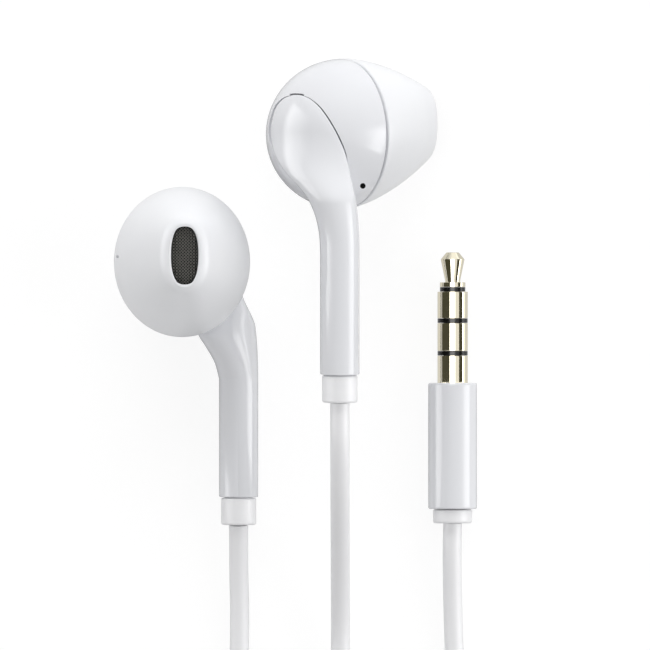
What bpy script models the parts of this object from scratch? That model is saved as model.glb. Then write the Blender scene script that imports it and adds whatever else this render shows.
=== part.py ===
"""Wired earphones, one solid for each physical piece.

The set lies on a table, seen from above: +X is to the right, +Y is up the
view, +Z points away from the table, and z = 0 is the table top.  The origin
is below the middle of the two earbuds.
"""

import math

import bmesh
import bpy
from mathutils import Euler, Matrix, Vector

MM = 0.001

# ---------------------------------------------------------------- clearances
SHELL_GAP = 0.3 * MM        # between the outer plastic pieces
SEAT_GAP = 0.15 * MM        # between small parts that rest on each other
METAL_GAP = 0.05 * MM       # between the moulded-in contacts of the plug

# -------------------------------------------------------------------- cables
CABLE_RADIUS = 1.1 * MM
CABLE_GAP = 0.3 * MM

# --------------------------------------------------------------- earbud head
DRIVER_RADIUS = 6.5 * MM        # a 13 mm driver sets the width of the head
SEAT_WALL = 1.0 * MM            # the front shell round the driver
RIM_HALF_WIDTH = DRIVER_RADIUS + SHELL_GAP + SEAT_WALL     # the seam is an ellipse
RIM_HALF_HEIGHT = RIM_HALF_WIDTH + 0.8 * MM
DOME_DEPTH = RIM_HALF_WIDTH + 1.7 * MM      # from the seam back to the dome's top
SHELL_WALL = 0.9 * MM
NOZZLE_ANGLE = math.radians(130)    # nozzle direction, turned from +Z to +X
NOZZLE_REACH = 12.2 * MM            # from the seam to the nozzle's end
NOZZLE_RISE = 0.9 * MM              # the nozzle's end lies above the middle
NOZZLE_HALF_WIDTH = 2.45 * MM
NOZZLE_HALF_HEIGHT = 4.0 * MM
NOZZLE_EDGE_RADIUS = 0.7 * MM
NOZZLE_SQUARENESS = 2.4             # 2 is an ellipse, more is squarer
FRONT_TAPER = 1.5                   # how the front shell curves in
OPENING_HALF_WIDTH = 1.55 * MM
OPENING_HALF_HEIGHT = 3.4 * MM
MESH_RECESS = 0.8 * MM
MESH_THICKNESS = 0.25 * MM
MESH_LEDGE = 0.35 * MM
DRIVER_SEAT_DEPTH = 2.0 * MM        # front shell's ledge, ahead of the seam
DRIVER_LEDGE = 0.85 * MM
VENT_RADIUS = 0.3 * MM
VENT_PLACE = (2.13 * MM, -5.75 * MM)    # the back shell's vent, by the seam
FRONT_VENT_RISE = 0.6 * MM

# ---------------------------------------------------------------------- stem
STEM_RADIUS = 2.25 * MM
STEM_OFFSET_X = -0.5 * MM
STEM_OFFSET_Z = DOME_DEPTH - 0.4 * MM   # the stem stands off behind the head
STEM_END = -27.1 * MM
STEM_BORE_RADIUS = CABLE_RADIUS + 0.55 * MM
STEM_BORE_TOP = -9.0 * MM
WAY_IN = (-1.2 * MM, -5.4 * MM, 3.2 * MM)   # the wires' way to the driver
WAY_IN_FOOT = STEM_BORE_TOP - 1.5 * MM
CAP_PROUD = 0.25 * MM               # the cap stands above the dome
BLEND_TOP = 0.5 * MM                # the stem leaves the dome below this
BLEND_LENGTH = 8.0 * MM

# Sections of the cap and the neck: height on the head, middle, half width
# and thickness, in mm, on a rim of CAP_RIM.  The cap widens with the rim and
# the neck doesn't.  Below the last row the stem is a plain tube.
CAP_RIM = 7.8 * MM
CAP_SECTIONS = [
    (4.58, -5.32, 0.60, 0.9),
    (4.25, -5.33, 1.42, 1.0),
    (3.45, -5.24, 2.30, 1.1),
    (2.40, -5.06, 2.95, 1.1),
    (1.20, -4.82, 3.46, 1.1),
    (0.00, -4.52, 3.80, 1.2),
    (-1.60, -4.04, 4.02, 1.5),
    (-3.00, -3.52, 3.92, 2.3),
    (-4.40, -2.86, 3.58, 3.8),
    (-5.60, -2.14, 3.15, 5.6),
    (-7.00, -1.45, 2.75, 7.2),
    (-8.40, -1.02, 2.52, 7.5),
    (-9.80, -0.74, 2.36, 6.6),
    (-11.60, -0.55, 2.27, 5.3),
]
STEM_STRAIGHT_FROM = -13.5 * MM

RELIEF_RADIUS = 2.02 * MM
RELIEF_LENGTH = 3.2 * MM
SPIGOT_LENGTH = 1.6 * MM

# -------------------------------------------------- driver, 13 mm, in a bud
DRIVER_BACK = -2.6 * MM
DRIVER_FRONT = 0.35 * MM
DRIVER_WALL = 0.45 * MM
BOARD_WIDTH = 1.3 * MM
BOARD_INSET = 0.6 * MM
YOKE_RADIUS = DRIVER_RADIUS - BOARD_INSET - BOARD_WIDTH - SEAT_GAP
YOKE_WALL = 0.55 * MM
YOKE_BACK = -3.4 * MM
YOKE_FRONT = -1.0 * MM
COIL_WALL = 0.3 * MM
COIL_CLEARANCE = 0.3 * MM           # each side of the voice coil
COIL_RADIUS = YOKE_RADIUS - YOKE_WALL - COIL_CLEARANCE - COIL_WALL
TOP_PLATE_RADIUS = COIL_RADIUS - COIL_CLEARANCE
TOP_PLATE_THICKNESS = 0.5 * MM
MAGNET_RADIUS = TOP_PLATE_RADIUS - 0.1 * MM
MAGNET_THICKNESS = 1.1 * MM
COIL_HEIGHT = 1.6 * MM
DIAPHRAGM_THICKNESS = 0.12 * MM
DIAPHRAGM_CLEARANCE = 0.3 * MM      # above its seat, so it can swing
PROTECTOR_THICKNESS = 0.2 * MM
BOARD_THICKNESS = 0.4 * MM

# ---------------------------------------------- plug, 3.5 mm with four poles
# Heights run from the housing's shoulder towards the tip.
PLUG_RADIUS = 1.75 * MM
PLUG_LENGTH = 15.0 * MM
SLEEVE_END = 3.15 * MM
RING_2_END = 6.9 * MM
RING_1_END = 10.5 * MM
INSULATOR_WIDTH = 0.5 * MM
TIP_BASE_RADIUS = 1.475 * MM
TIP_WAIST_RADIUS = 0.87 * MM
TIP_WIDE_RADIUS = 1.375 * MM
TIP_END_RADIUS = 0.6 * MM
CONTACT_BORE = 1.05 * MM
ROD_RADIUS = 0.45 * MM
HOUSING_RADIUS = 2.8 * MM
HOUSING_LENGTH = 14.5 * MM
HOUSING_WALL = 0.6 * MM
COLLAR_RADIUS = 2.25 * MM
COLLAR_LENGTH = 1.5 * MM

# ------------------------------------- in-line remote, on the right ear's cable
REMOTE_LENGTH = 31.0 * MM
REMOTE_WIDTH = 6.2 * MM
REMOTE_HEIGHT = 5.0 * MM
REMOTE_WALL = 0.8 * MM
REMOTE_CORNER = 2.6 * MM
KEY_TRAVEL = 0.25 * MM
KEY_PROUD = 0.35 * MM
KEY_SPACING = 6.6 * MM
KEY_LENGTH = 5.2 * MM
KEY_WIDTH = 3.4 * MM
ROUND_KEY_RADIUS = 1.8 * MM
KEY_CLEARANCE = 0.2 * MM
KEY_FLANGE = 0.4 * MM
SWITCH_GAP = 0.1 * MM
REMOTE_BOARD_THICKNESS = 0.8 * MM
REMOTE_RELIEF_LENGTH = 3.5 * MM
REMOTE_RELIEF_RADII = (1.9 * MM, 1.5 * MM)
SWITCH_WIDTH = 2.4 * MM
STRIP_THICKNESS = 0.15 * MM

# ------------------------------------------------- splitter and the neat coil
SPLITTER_LENGTH = 9.0 * MM
SPLITTER_WIDTH = 3.6 * MM
SPLITTER_HEIGHT = 5.4 * MM
COIL_MIDDLE = (8.0 * MM, -107.0 * MM)
TURNS_ACROSS = 3
MAIN_LAYERS = 3
COIL_MEAN_RADIUS = 13.2 * MM
COIL_PITCH = 2 * CABLE_RADIUS
TIE_THICKNESS = 0.4 * MM
TIE_WIDTH = 3.0 * MM

# ------------------------------------------------------- the layout on table
PLUG_PLACE = (20.3 * MM, -10.4 * MM)
REMOTE_PLACE = (7.4 * MM, -63.5 * MM)
SPLITTER_PLACE = (8.0 * MM, -110.5 * MM)
LEFT_HEAD = (-10.74 * MM, 3.46 * MM)
RIGHT_HEAD = (7.81 * MM, 18.16 * MM)
LEFT_TURN = math.radians(132)       # about Y: the left nozzle points up
LEFT_PITCH = math.radians(1.0)      # stems dip towards the table
RIGHT_PITCH = math.radians(3.0)
SEGMENTS = 28
STEM_SEGMENTS = 18
SMALL_SEGMENTS = 18

NOZZLE_AXIS = Vector((math.sin(NOZZLE_ANGLE), 0, math.cos(NOZZLE_ANGLE)))
SIDE_AXIS = Vector((-math.cos(NOZZLE_ANGLE), 0, math.sin(NOZZLE_ANGLE)))
UP_AXIS = Vector((0, 1, 0))


# ------------------------------------------------------------------- helpers
def clear_scene():
    """Take every object out of the file."""
    for item in list(bpy.data.objects):
        bpy.data.objects.remove(item, do_unlink=True)


def material(name, colour, roughness, metallic=0.0):
    """Return the named Principled material, made on first use."""
    found = bpy.data.materials.get(name)
    if found:
        return found
    made = bpy.data.materials.new(name)
    made.use_nodes = True
    shader = made.node_tree.nodes["Principled BSDF"]
    shader.inputs["Base Color"].default_value = (*colour, 1.0)
    shader.inputs["Roughness"].default_value = roughness
    shader.inputs["Metallic"].default_value = metallic
    return made


def gloss_white():
    return material("gloss_white_abs", (0.82, 0.83, 0.85), 0.15)


def matt_white():
    return material("matt_white_abs", (0.72, 0.73, 0.75), 0.5)


def soft_white():
    return material("soft_white_tpe", (0.68, 0.69, 0.71), 0.65)


def dark_mesh():
    return material("dark_mesh", (0.04, 0.04, 0.045), 0.5, 0.6)


def black_plastic():
    return material("black_plastic", (0.01, 0.01, 0.012), 0.25)


def pale_gold():
    return material("pale_gold", (0.83, 0.72, 0.46), 0.18, 1.0)


def bright_steel():
    return material("bright_steel", (0.6, 0.6, 0.62), 0.3, 1.0)


def magnet_nickel():
    return material("magnet_nickel", (0.5, 0.5, 0.48), 0.25, 1.0)


def copper_wire():
    return material("copper_wire", (0.72, 0.33, 0.18), 0.35, 1.0)


def clear_film():
    return material("clear_film", (0.75, 0.72, 0.6), 0.3)


def green_board():
    return material("green_board", (0.03, 0.16, 0.07), 0.45)


def black_foam():
    return material("black_foam", (0.02, 0.02, 0.02), 0.9)


def finish(name, mesh, look, parent=None):
    """Turn a bmesh into a named object with outward faces."""
    bmesh.ops.remove_doubles(mesh, verts=mesh.verts, dist=1e-7)
    bmesh.ops.recalc_face_normals(mesh, faces=mesh.faces)
    data = bpy.data.meshes.new(name)
    mesh.to_mesh(data)
    mesh.free()
    data.shade_smooth()
    data.set_sharp_from_angle(angle=math.radians(35))
    data.materials.append(look)
    item = bpy.data.objects.new(name, data)
    bpy.context.scene.collection.objects.link(item)
    item.parent = parent
    return item


def empty(name, location, rotation):
    """A placing point that other objects hang from."""
    item = bpy.data.objects.new(name, None)
    item.location = location
    item.rotation_mode = rotation.order
    item.rotation_euler = rotation
    item.empty_display_size = 5 * MM
    bpy.context.scene.collection.objects.link(item)
    return item


def loft(mesh, rings, closed=False):
    """Skin a list of rings.  An open skin gets a flat cap at both ends."""
    loops = [[mesh.verts.new(point) for point in ring] for ring in rings]
    pairs = list(zip(loops, loops[1:]))
    if closed:
        pairs.append((loops[-1], loops[0]))
    for lower, upper in pairs:
        count = len(lower)
        for i in range(count):
            j = (i + 1) % count
            mesh.faces.new((lower[i], lower[j], upper[j], upper[i]))
    if not closed:
        mesh.faces.new(loops[0])
        mesh.faces.new(loops[-1])


def turned(name, outlines, look, parent=None, segments=SMALL_SEGMENTS):
    """Spin closed (radius, height) outlines about Z into one object."""
    mesh = bmesh.new()
    for outline in outlines:
        hollow = min(radius for radius, _ in outline) > 0
        loops = []
        for radius, height in outline:
            count = segments if radius > 0 else 1
            turn = [2 * math.pi * i / segments for i in range(count)]
            loops.append([mesh.verts.new((radius * math.cos(a), radius * math.sin(a), height))
                          for a in turn])
        pairs = list(zip(loops, loops[1:]))
        if hollow:
            pairs.append((loops[-1], loops[0]))
        for lower, upper in pairs:
            for i in range(segments):
                corners = [lower[i % len(lower)], lower[(i + 1) % len(lower)],
                           upper[(i + 1) % len(upper)], upper[i % len(upper)]]
                unique = list(dict.fromkeys(corners))
                if len(unique) > 2:
                    mesh.faces.new(unique)
    return finish(name, mesh, look, parent)


def cylinder(name, start, end, radius, look, parent=None, sides=12):
    """A plain rod between two points."""
    axis = end - start
    mesh = bmesh.new()
    bmesh.ops.create_cone(mesh, cap_ends=True, segments=sides, radius1=radius, radius2=radius,
                          depth=axis.length)
    turn = axis.to_track_quat("Z", "Y").to_matrix().to_4x4()
    bmesh.ops.transform(mesh, matrix=Matrix.Translation((start + end) / 2) @ turn,
                        verts=mesh.verts)
    return finish(name, mesh, look, parent)


def cut(target, cutter):
    """Take the cutter's shape out of the target."""
    cutter.hide_render = True
    cutter.display_type = "WIRE"
    modifier = target.modifiers.new("cut_" + cutter.name, "BOOLEAN")
    modifier.operation = "DIFFERENCE"
    modifier.solver = "EXACT"
    modifier.object = cutter


def oval(half_width, half_height, squareness, count):
    """Corner points of an ellipse or a squarer oval, once around."""
    points = []
    for i in range(count):
        turn = 2 * math.pi * i / count
        across = math.copysign(abs(math.cos(turn)) ** (2 / squareness), math.cos(turn))
        up = math.copysign(abs(math.sin(turn)) ** (2 / squareness), math.sin(turn))
        points.append((half_width * across, half_height * up))
    return points


def smoothstep(value):
    value = min(max(value, 0.0), 1.0)
    return value * value * (3 - 2 * value)


# --------------------------------------------------------------- earbud head
def head_point(depth, across, up, side):
    """A point from its depth along the nozzle, sideways and up."""
    point = depth * NOZZLE_AXIS + across * SIDE_AXIS + up * UP_AXIS
    point.x *= side
    return point


def dome_height(x, y):
    """Height of the dome's outside over (x, y) on the right bud."""
    sine, cosine = math.sin(NOZZLE_ANGLE), math.cos(NOZZLE_ANGLE)
    wide, deep = RIM_HALF_WIDTH ** 2, DOME_DEPTH ** 2
    square = sine * sine / wide + cosine * cosine / deep
    linear = 2 * x * sine * cosine * (1 / deep - 1 / wide)
    rest = (x * cosine) ** 2 / wide + (x * sine) ** 2 / deep
    rest += (y / RIM_HALF_HEIGHT) ** 2 - 1
    root = math.sqrt(max(linear * linear - 4 * square * rest, 0.0))
    return (root - linear) / (2 * square)


def front_ring(depth, inset, side):
    """One outline of the front shell, this far ahead of the seam."""
    share = min(max(depth / NOZZLE_REACH, 0.0), 1.0)
    taper = 1 - share ** FRONT_TAPER
    wide = NOZZLE_HALF_WIDTH + (RIM_HALF_WIDTH - NOZZLE_HALF_WIDTH) * taper - inset
    high = NOZZLE_HALF_HEIGHT + (RIM_HALF_HEIGHT - NOZZLE_HALF_HEIGHT) * taper - inset
    square = 2 + (NOZZLE_SQUARENESS - 2) * (1 - taper)
    return [head_point(depth, across, up + NOZZLE_RISE * share, side)
            for across, up in oval(wide, high, square, SEGMENTS)]


def flat_ring(depth, half_width, half_height, squareness, rise, side):
    return [head_point(depth, across, up + rise, side)
            for across, up in oval(half_width, half_height, squareness, SEGMENTS)]


def make_front_shell(side, name, parent):
    mesh = bmesh.new()
    edge = NOZZLE_EDGE_RADIUS
    round_start = NOZZLE_REACH - edge
    depths = [SHELL_GAP / 2]
    depths += [NOZZLE_REACH * share for share in (0.1, 0.25, 0.43, 0.61, 0.77)]
    depths.append(round_start)
    rings = [front_ring(depth, 0.0, side) for depth in depths]
    for turn in (math.radians(35), math.radians(70)):
        rings.append(front_ring(round_start + edge * math.sin(turn),
                                edge * (1 - math.cos(turn)), side))
    rings.append(front_ring(NOZZLE_REACH, edge, side))
    ledge = NOZZLE_REACH - MESH_RECESS - MESH_THICKNESS - SEAT_GAP
    passage_width = OPENING_HALF_WIDTH - MESH_LEDGE
    passage_height = OPENING_HALF_HEIGHT - MESH_LEDGE
    square = NOZZLE_SQUARENESS
    rings.append(flat_ring(NOZZLE_REACH, OPENING_HALF_WIDTH, OPENING_HALF_HEIGHT, square,
                           NOZZLE_RISE, side))
    rings.append(flat_ring(ledge, OPENING_HALF_WIDTH, OPENING_HALF_HEIGHT, square,
                           NOZZLE_RISE, side))
    rings.append(flat_ring(ledge, passage_width, passage_height, square, NOZZLE_RISE, side))
    rings += [front_ring(NOZZLE_REACH * share, SHELL_WALL + MESH_LEDGE, side)
              for share in (0.74, 0.53, 0.33)]
    seat = DRIVER_RADIUS + SHELL_GAP
    mouth = seat - DRIVER_LEDGE
    rings.append(flat_ring(DRIVER_SEAT_DEPTH + 0.6 * MM, mouth, mouth, 2, 0, side))
    rings.append(flat_ring(DRIVER_SEAT_DEPTH, mouth, mouth, 2, 0, side))
    rings.append(flat_ring(DRIVER_SEAT_DEPTH, seat, seat, 2, 0, side))
    rings.append(flat_ring(SHELL_GAP / 2, seat, seat, 2, 0, side))
    loft(mesh, rings, closed=True)
    shell = finish(name + "_front_shell", mesh, matt_white(), parent)
    vent = cylinder(name + "_front_vent_cutter",
                    head_point(DRIVER_SEAT_DEPTH, -RIM_HALF_WIDTH - 1 * MM,
                               FRONT_VENT_RISE, side),
                    head_point(DRIVER_SEAT_DEPTH + 0.6 * MM, -DRIVER_RADIUS + 1 * MM,
                               FRONT_VENT_RISE, side),
                    VENT_RADIUS, matt_white(), parent, sides=8)
    cut(shell, vent)
    return shell


def make_nozzle_mesh(side, name, parent):
    mesh = bmesh.new()
    front = NOZZLE_REACH - MESH_RECESS
    wide = OPENING_HALF_WIDTH - SEAT_GAP
    high = OPENING_HALF_HEIGHT - SEAT_GAP
    rings = [flat_ring(depth, wide, high, NOZZLE_SQUARENESS, NOZZLE_RISE, side)
             for depth in (front - MESH_THICKNESS, front)]
    loft(mesh, rings)
    return finish(name + "_nozzle_mesh", mesh, dark_mesh(), parent)


def dome_ring(latitude, inset, side):
    wide = (RIM_HALF_WIDTH - inset) * math.cos(latitude)
    high = (RIM_HALF_HEIGHT - inset) * math.cos(latitude)
    depth = -(DOME_DEPTH - inset) * math.sin(latitude) - SHELL_GAP / 2
    return [head_point(depth, across, up, side) for across, up in oval(wide, high, 2, SEGMENTS)]


def make_back_shell(side, name, parent):
    mesh = bmesh.new()
    steps = [math.radians(angle) for angle in (0, 12, 24, 36, 48, 60, 71, 80, 87)]
    rings = [dome_ring(latitude, 0.0, side) for latitude in reversed(steps)]
    rings += [dome_ring(latitude, SHELL_WALL, side) for latitude in steps[::2]]
    loft(mesh, rings)
    shell = finish(name + "_back_shell", mesh, gloss_white(), parent)
    cut(shell, make_stem_body(side, name + "_stem_cutter", parent, SHELL_GAP * 0.85))
    x, y = VENT_PLACE
    on_dome = Vector((x * side, y, dome_height(x, y)))
    outward = Vector((0.45 * side, -0.75, 0.5)).normalized()
    vent = cylinder(name + "_back_vent_cutter", on_dome - outward * 1.3 * MM,
                    on_dome + outward * 1.5 * MM, VENT_RADIUS, gloss_white(), parent, sides=8)
    cut(shell, vent)
    return shell


# ---------------------------------------------------------------------- stem
def stem_ring(height, middle, half_width, thickness, side, grow):
    """One level section of the stem, its neck or its cap."""
    tube = smoothstep((BLEND_TOP - height) / BLEND_LENGTH)
    half_width += grow
    points = []
    for i in range(STEM_SEGMENTS):
        turn = 2 * math.pi * i / STEM_SEGMENTS
        x = middle + half_width * math.cos(turn)
        bulge = math.sin(turn)
        dome = dome_height(x, height)
        if bulge >= 0:
            on_dome = dome + (CAP_PROUD + grow) * math.sqrt(bulge)
            on_tube = STEM_OFFSET_Z + (STEM_RADIUS + grow) * bulge
        else:
            on_dome = dome - (thickness - CAP_PROUD + grow) * math.sqrt(-bulge)
            on_tube = STEM_OFFSET_Z + (thickness - STEM_RADIUS + grow) * bulge
        points.append(Vector((x * side, height, on_dome + (on_tube - on_dome) * tube)))
    return points


def make_stem_body(side, name, parent, grow=0.0):
    """The stem's outside.  The cutter for its seat is grown a little."""
    rings = []
    for row, (height, middle, half_width, thickness) in enumerate(CAP_SECTIONS):
        lift = grow if row == 0 else 0.0
        neck = smoothstep((BLEND_TOP - height * MM) / BLEND_LENGTH)
        widen = MM * (1 + (RIM_HALF_WIDTH / CAP_RIM - 1) * (1 - neck))
        rings.append(stem_ring(height * MM + lift, middle * widen, half_width * widen,
                               thickness * MM, side, grow))
    for height in (STEM_STRAIGHT_FROM, STEM_END):
        rings.append(stem_ring(height, STEM_OFFSET_X, STEM_RADIUS, 2 * STEM_RADIUS, side, grow))
    mesh = bmesh.new()
    loft(mesh, rings)
    return finish(name, mesh, gloss_white(), parent)


def stem_axis_point(height, side):
    return Vector((STEM_OFFSET_X * side, height, STEM_OFFSET_Z))


def make_stem(side, name, parent):
    stem = make_stem_body(side, name + "_stem", parent)
    bore = cylinder(name + "_bore_cutter", stem_axis_point(STEM_END - 1 * MM, side),
                    stem_axis_point(STEM_BORE_TOP, side), STEM_BORE_RADIUS, gloss_white(), parent)
    cut(stem, bore)
    way_in = cylinder(name + "_way_in_cutter", stem_axis_point(WAY_IN_FOOT, side),
                      Vector((WAY_IN[0] * side, *WAY_IN[1:])), STEM_BORE_RADIUS * 0.6,
                      gloss_white(), parent, sides=8)
    cut(stem, way_in)
    return stem


def make_strain_relief(side, name, parent):
    """A soft sleeve moulded on the cable, with a spigot in the stem."""
    spigot = STEM_BORE_RADIUS - SEAT_GAP
    outline = [(0, 0), (RELIEF_RADIUS - 0.2 * MM, 0), (RELIEF_RADIUS, 0.2 * MM),
               (RELIEF_RADIUS, RELIEF_LENGTH - SHELL_GAP), (spigot, RELIEF_LENGTH - SHELL_GAP),
               (spigot, RELIEF_LENGTH + SPIGOT_LENGTH), (0, RELIEF_LENGTH + SPIGOT_LENGTH)]
    relief = turned(name + "_strain_relief", [outline], soft_white(), parent)
    relief.location = stem_axis_point(STEM_END - RELIEF_LENGTH, side)
    relief.rotation_euler = (-math.pi / 2, 0, 0)
    return relief


def make_cable_end(side, name, parent):
    """The cable's end inside the stem, with the knot that holds it."""
    knot = STEM_BORE_RADIUS - SEAT_GAP
    rod = CABLE_RADIUS
    start = STEM_END + SPIGOT_LENGTH + SEAT_GAP
    length = STEM_BORE_TOP - SEAT_GAP - start
    outline = [(0, 0), (rod, 0), (rod, length - 4 * MM), (knot, length - 3.4 * MM),
               (knot, length - 1.6 * MM), (rod, length - 1.0 * MM), (rod, length), (0, length)]
    end = turned(name + "_cable_end", [outline], soft_white(), parent, segments=12)
    end.location = stem_axis_point(start, side)
    end.rotation_euler = (-math.pi / 2, 0, 0)
    return end


# -------------------------------------------------------------------- driver
def make_driver(side, name, parent):
    """The 13 mm moving-coil driver, its parts stacked on the nozzle axis."""
    gap = SEAT_GAP
    inner = DRIVER_RADIUS - DRIVER_WALL
    seat = -0.25 * MM
    floor = 0.6 * MM
    yoke_base = YOKE_BACK + YOKE_WALL
    magnet_back = yoke_base + METAL_GAP
    plate_back = magnet_back + MAGNET_THICKNESS + METAL_GAP
    film = DIAPHRAGM_THICKNESS
    film_low = seat + DIAPHRAGM_CLEARANCE
    edge = inner - gap
    coil_top = film_low - METAL_GAP / 2
    cover_back = film_low + 1.2 * MM
    yoke_hole = YOKE_RADIUS + gap
    outlines = {
        "driver_frame": (bright_steel(), [
            (yoke_hole, DRIVER_BACK), (DRIVER_RADIUS, DRIVER_BACK),
            (DRIVER_RADIUS, DRIVER_FRONT), (inner, DRIVER_FRONT), (inner, seat),
            (inner - 0.3 * MM, seat), (inner - 0.3 * MM, DRIVER_BACK + floor),
            (yoke_hole, DRIVER_BACK + floor)]),
        "yoke": (bright_steel(), [
            (0.5 * MM, YOKE_BACK), (YOKE_RADIUS, YOKE_BACK), (YOKE_RADIUS, YOKE_FRONT),
            (YOKE_RADIUS - YOKE_WALL, YOKE_FRONT), (YOKE_RADIUS - YOKE_WALL, yoke_base),
            (0.5 * MM, yoke_base)]),
        "magnet": (magnet_nickel(), [
            (0, magnet_back), (MAGNET_RADIUS, magnet_back),
            (MAGNET_RADIUS, magnet_back + MAGNET_THICKNESS), (0, magnet_back + MAGNET_THICKNESS)]),
        "top_plate": (bright_steel(), [
            (0, plate_back), (TOP_PLATE_RADIUS, plate_back),
            (TOP_PLATE_RADIUS, plate_back + TOP_PLATE_THICKNESS),
            (0, plate_back + TOP_PLATE_THICKNESS)]),
        "voice_coil": (copper_wire(), [
            (COIL_RADIUS, coil_top - COIL_HEIGHT), (COIL_RADIUS + COIL_WALL, coil_top - COIL_HEIGHT),
            (COIL_RADIUS + COIL_WALL, coil_top), (COIL_RADIUS, coil_top)]),
        "diaphragm": (clear_film(), [
            (0, film_low + 0.6 * MM), (COIL_RADIUS * 0.6, film_low + 0.45 * MM),
            (COIL_RADIUS, film_low), (COIL_RADIUS + COIL_WALL, film_low),
            (edge - 1.1 * MM, film_low + 0.35 * MM), (edge - 0.5 * MM, film_low),
            (edge, film_low), (edge, film_low + film), (edge - 0.5 * MM, film_low + film),
            (edge - 1.1 * MM, film_low + 0.35 * MM + film),
            (COIL_RADIUS + COIL_WALL, film_low + film), (COIL_RADIUS, film_low + film),
            (COIL_RADIUS * 0.6, film_low + 0.45 * MM + film), (0, film_low + 0.6 * MM + film)]),
        "driver_cover": (bright_steel(), [
            (0.6 * MM, cover_back), (inner, cover_back), (inner, DRIVER_FRONT + gap),
            (DRIVER_RADIUS - 0.05 * MM, DRIVER_FRONT + gap),
            (DRIVER_RADIUS - 0.05 * MM, cover_back + PROTECTOR_THICKNESS),
            (0.6 * MM, cover_back + PROTECTOR_THICKNESS)]),
        "gasket": (black_foam(), [
            (inner, cover_back + PROTECTOR_THICKNESS + gap),
            (DRIVER_RADIUS - 0.05 * MM, cover_back + PROTECTOR_THICKNESS + gap),
            (DRIVER_RADIUS - 0.05 * MM, DRIVER_SEAT_DEPTH - gap),
            (inner, DRIVER_SEAT_DEPTH - gap)]),
    }
    made = {}
    for part, (look, outline) in outlines.items():
        item = turned(name + "_" + part, [outline], look, parent)
        item.rotation_euler = (0, side * NOZZLE_ANGLE, 0)
        made[part] = item
    made["terminal_board"] = make_terminal_board(side, name, parent)
    return made


def make_terminal_board(side, name, parent):
    """A curved circuit board behind the driver's frame, for the wires."""
    inner = YOKE_RADIUS + SEAT_GAP
    outer = inner + BOARD_WIDTH
    back = DRIVER_BACK - SEAT_GAP - BOARD_THICKNESS
    steps = 8
    turns = [math.radians(-140 + 100 * i / steps) for i in range(steps + 1)]
    outline = [(outer * math.cos(a), outer * math.sin(a)) for a in turns]
    outline += [(inner * math.cos(a), inner * math.sin(a)) for a in reversed(turns)]
    mesh = bmesh.new()
    loft(mesh, [[head_point(depth, across, up, side) for across, up in outline]
                for depth in (back, back + BOARD_THICKNESS)])
    return finish(name + "_terminal_board", mesh, green_board(), parent)


def make_bud(side, name, location, pitch, turn):
    """One earbud on its placing point, let down until it meets the table."""
    bud = empty(name + "_bud", (*location, 0), Euler((pitch, turn, 0), "YXZ"))
    outside = [make_front_shell(side, name, bud), make_back_shell(side, name, bud),
               make_stem(side, name, bud), make_strain_relief(side, name, bud)]
    make_nozzle_mesh(side, name, bud)
    make_cable_end(side, name, bud)
    make_driver(side, name, bud)
    turn_matrix = bud.rotation_euler.to_matrix().to_4x4()
    lowest = min((turn_matrix @ item.matrix_basis @ vertex.co).z
                 for item in outside for vertex in item.data.vertices)
    bud.location.z = -lowest
    return bud


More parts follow.
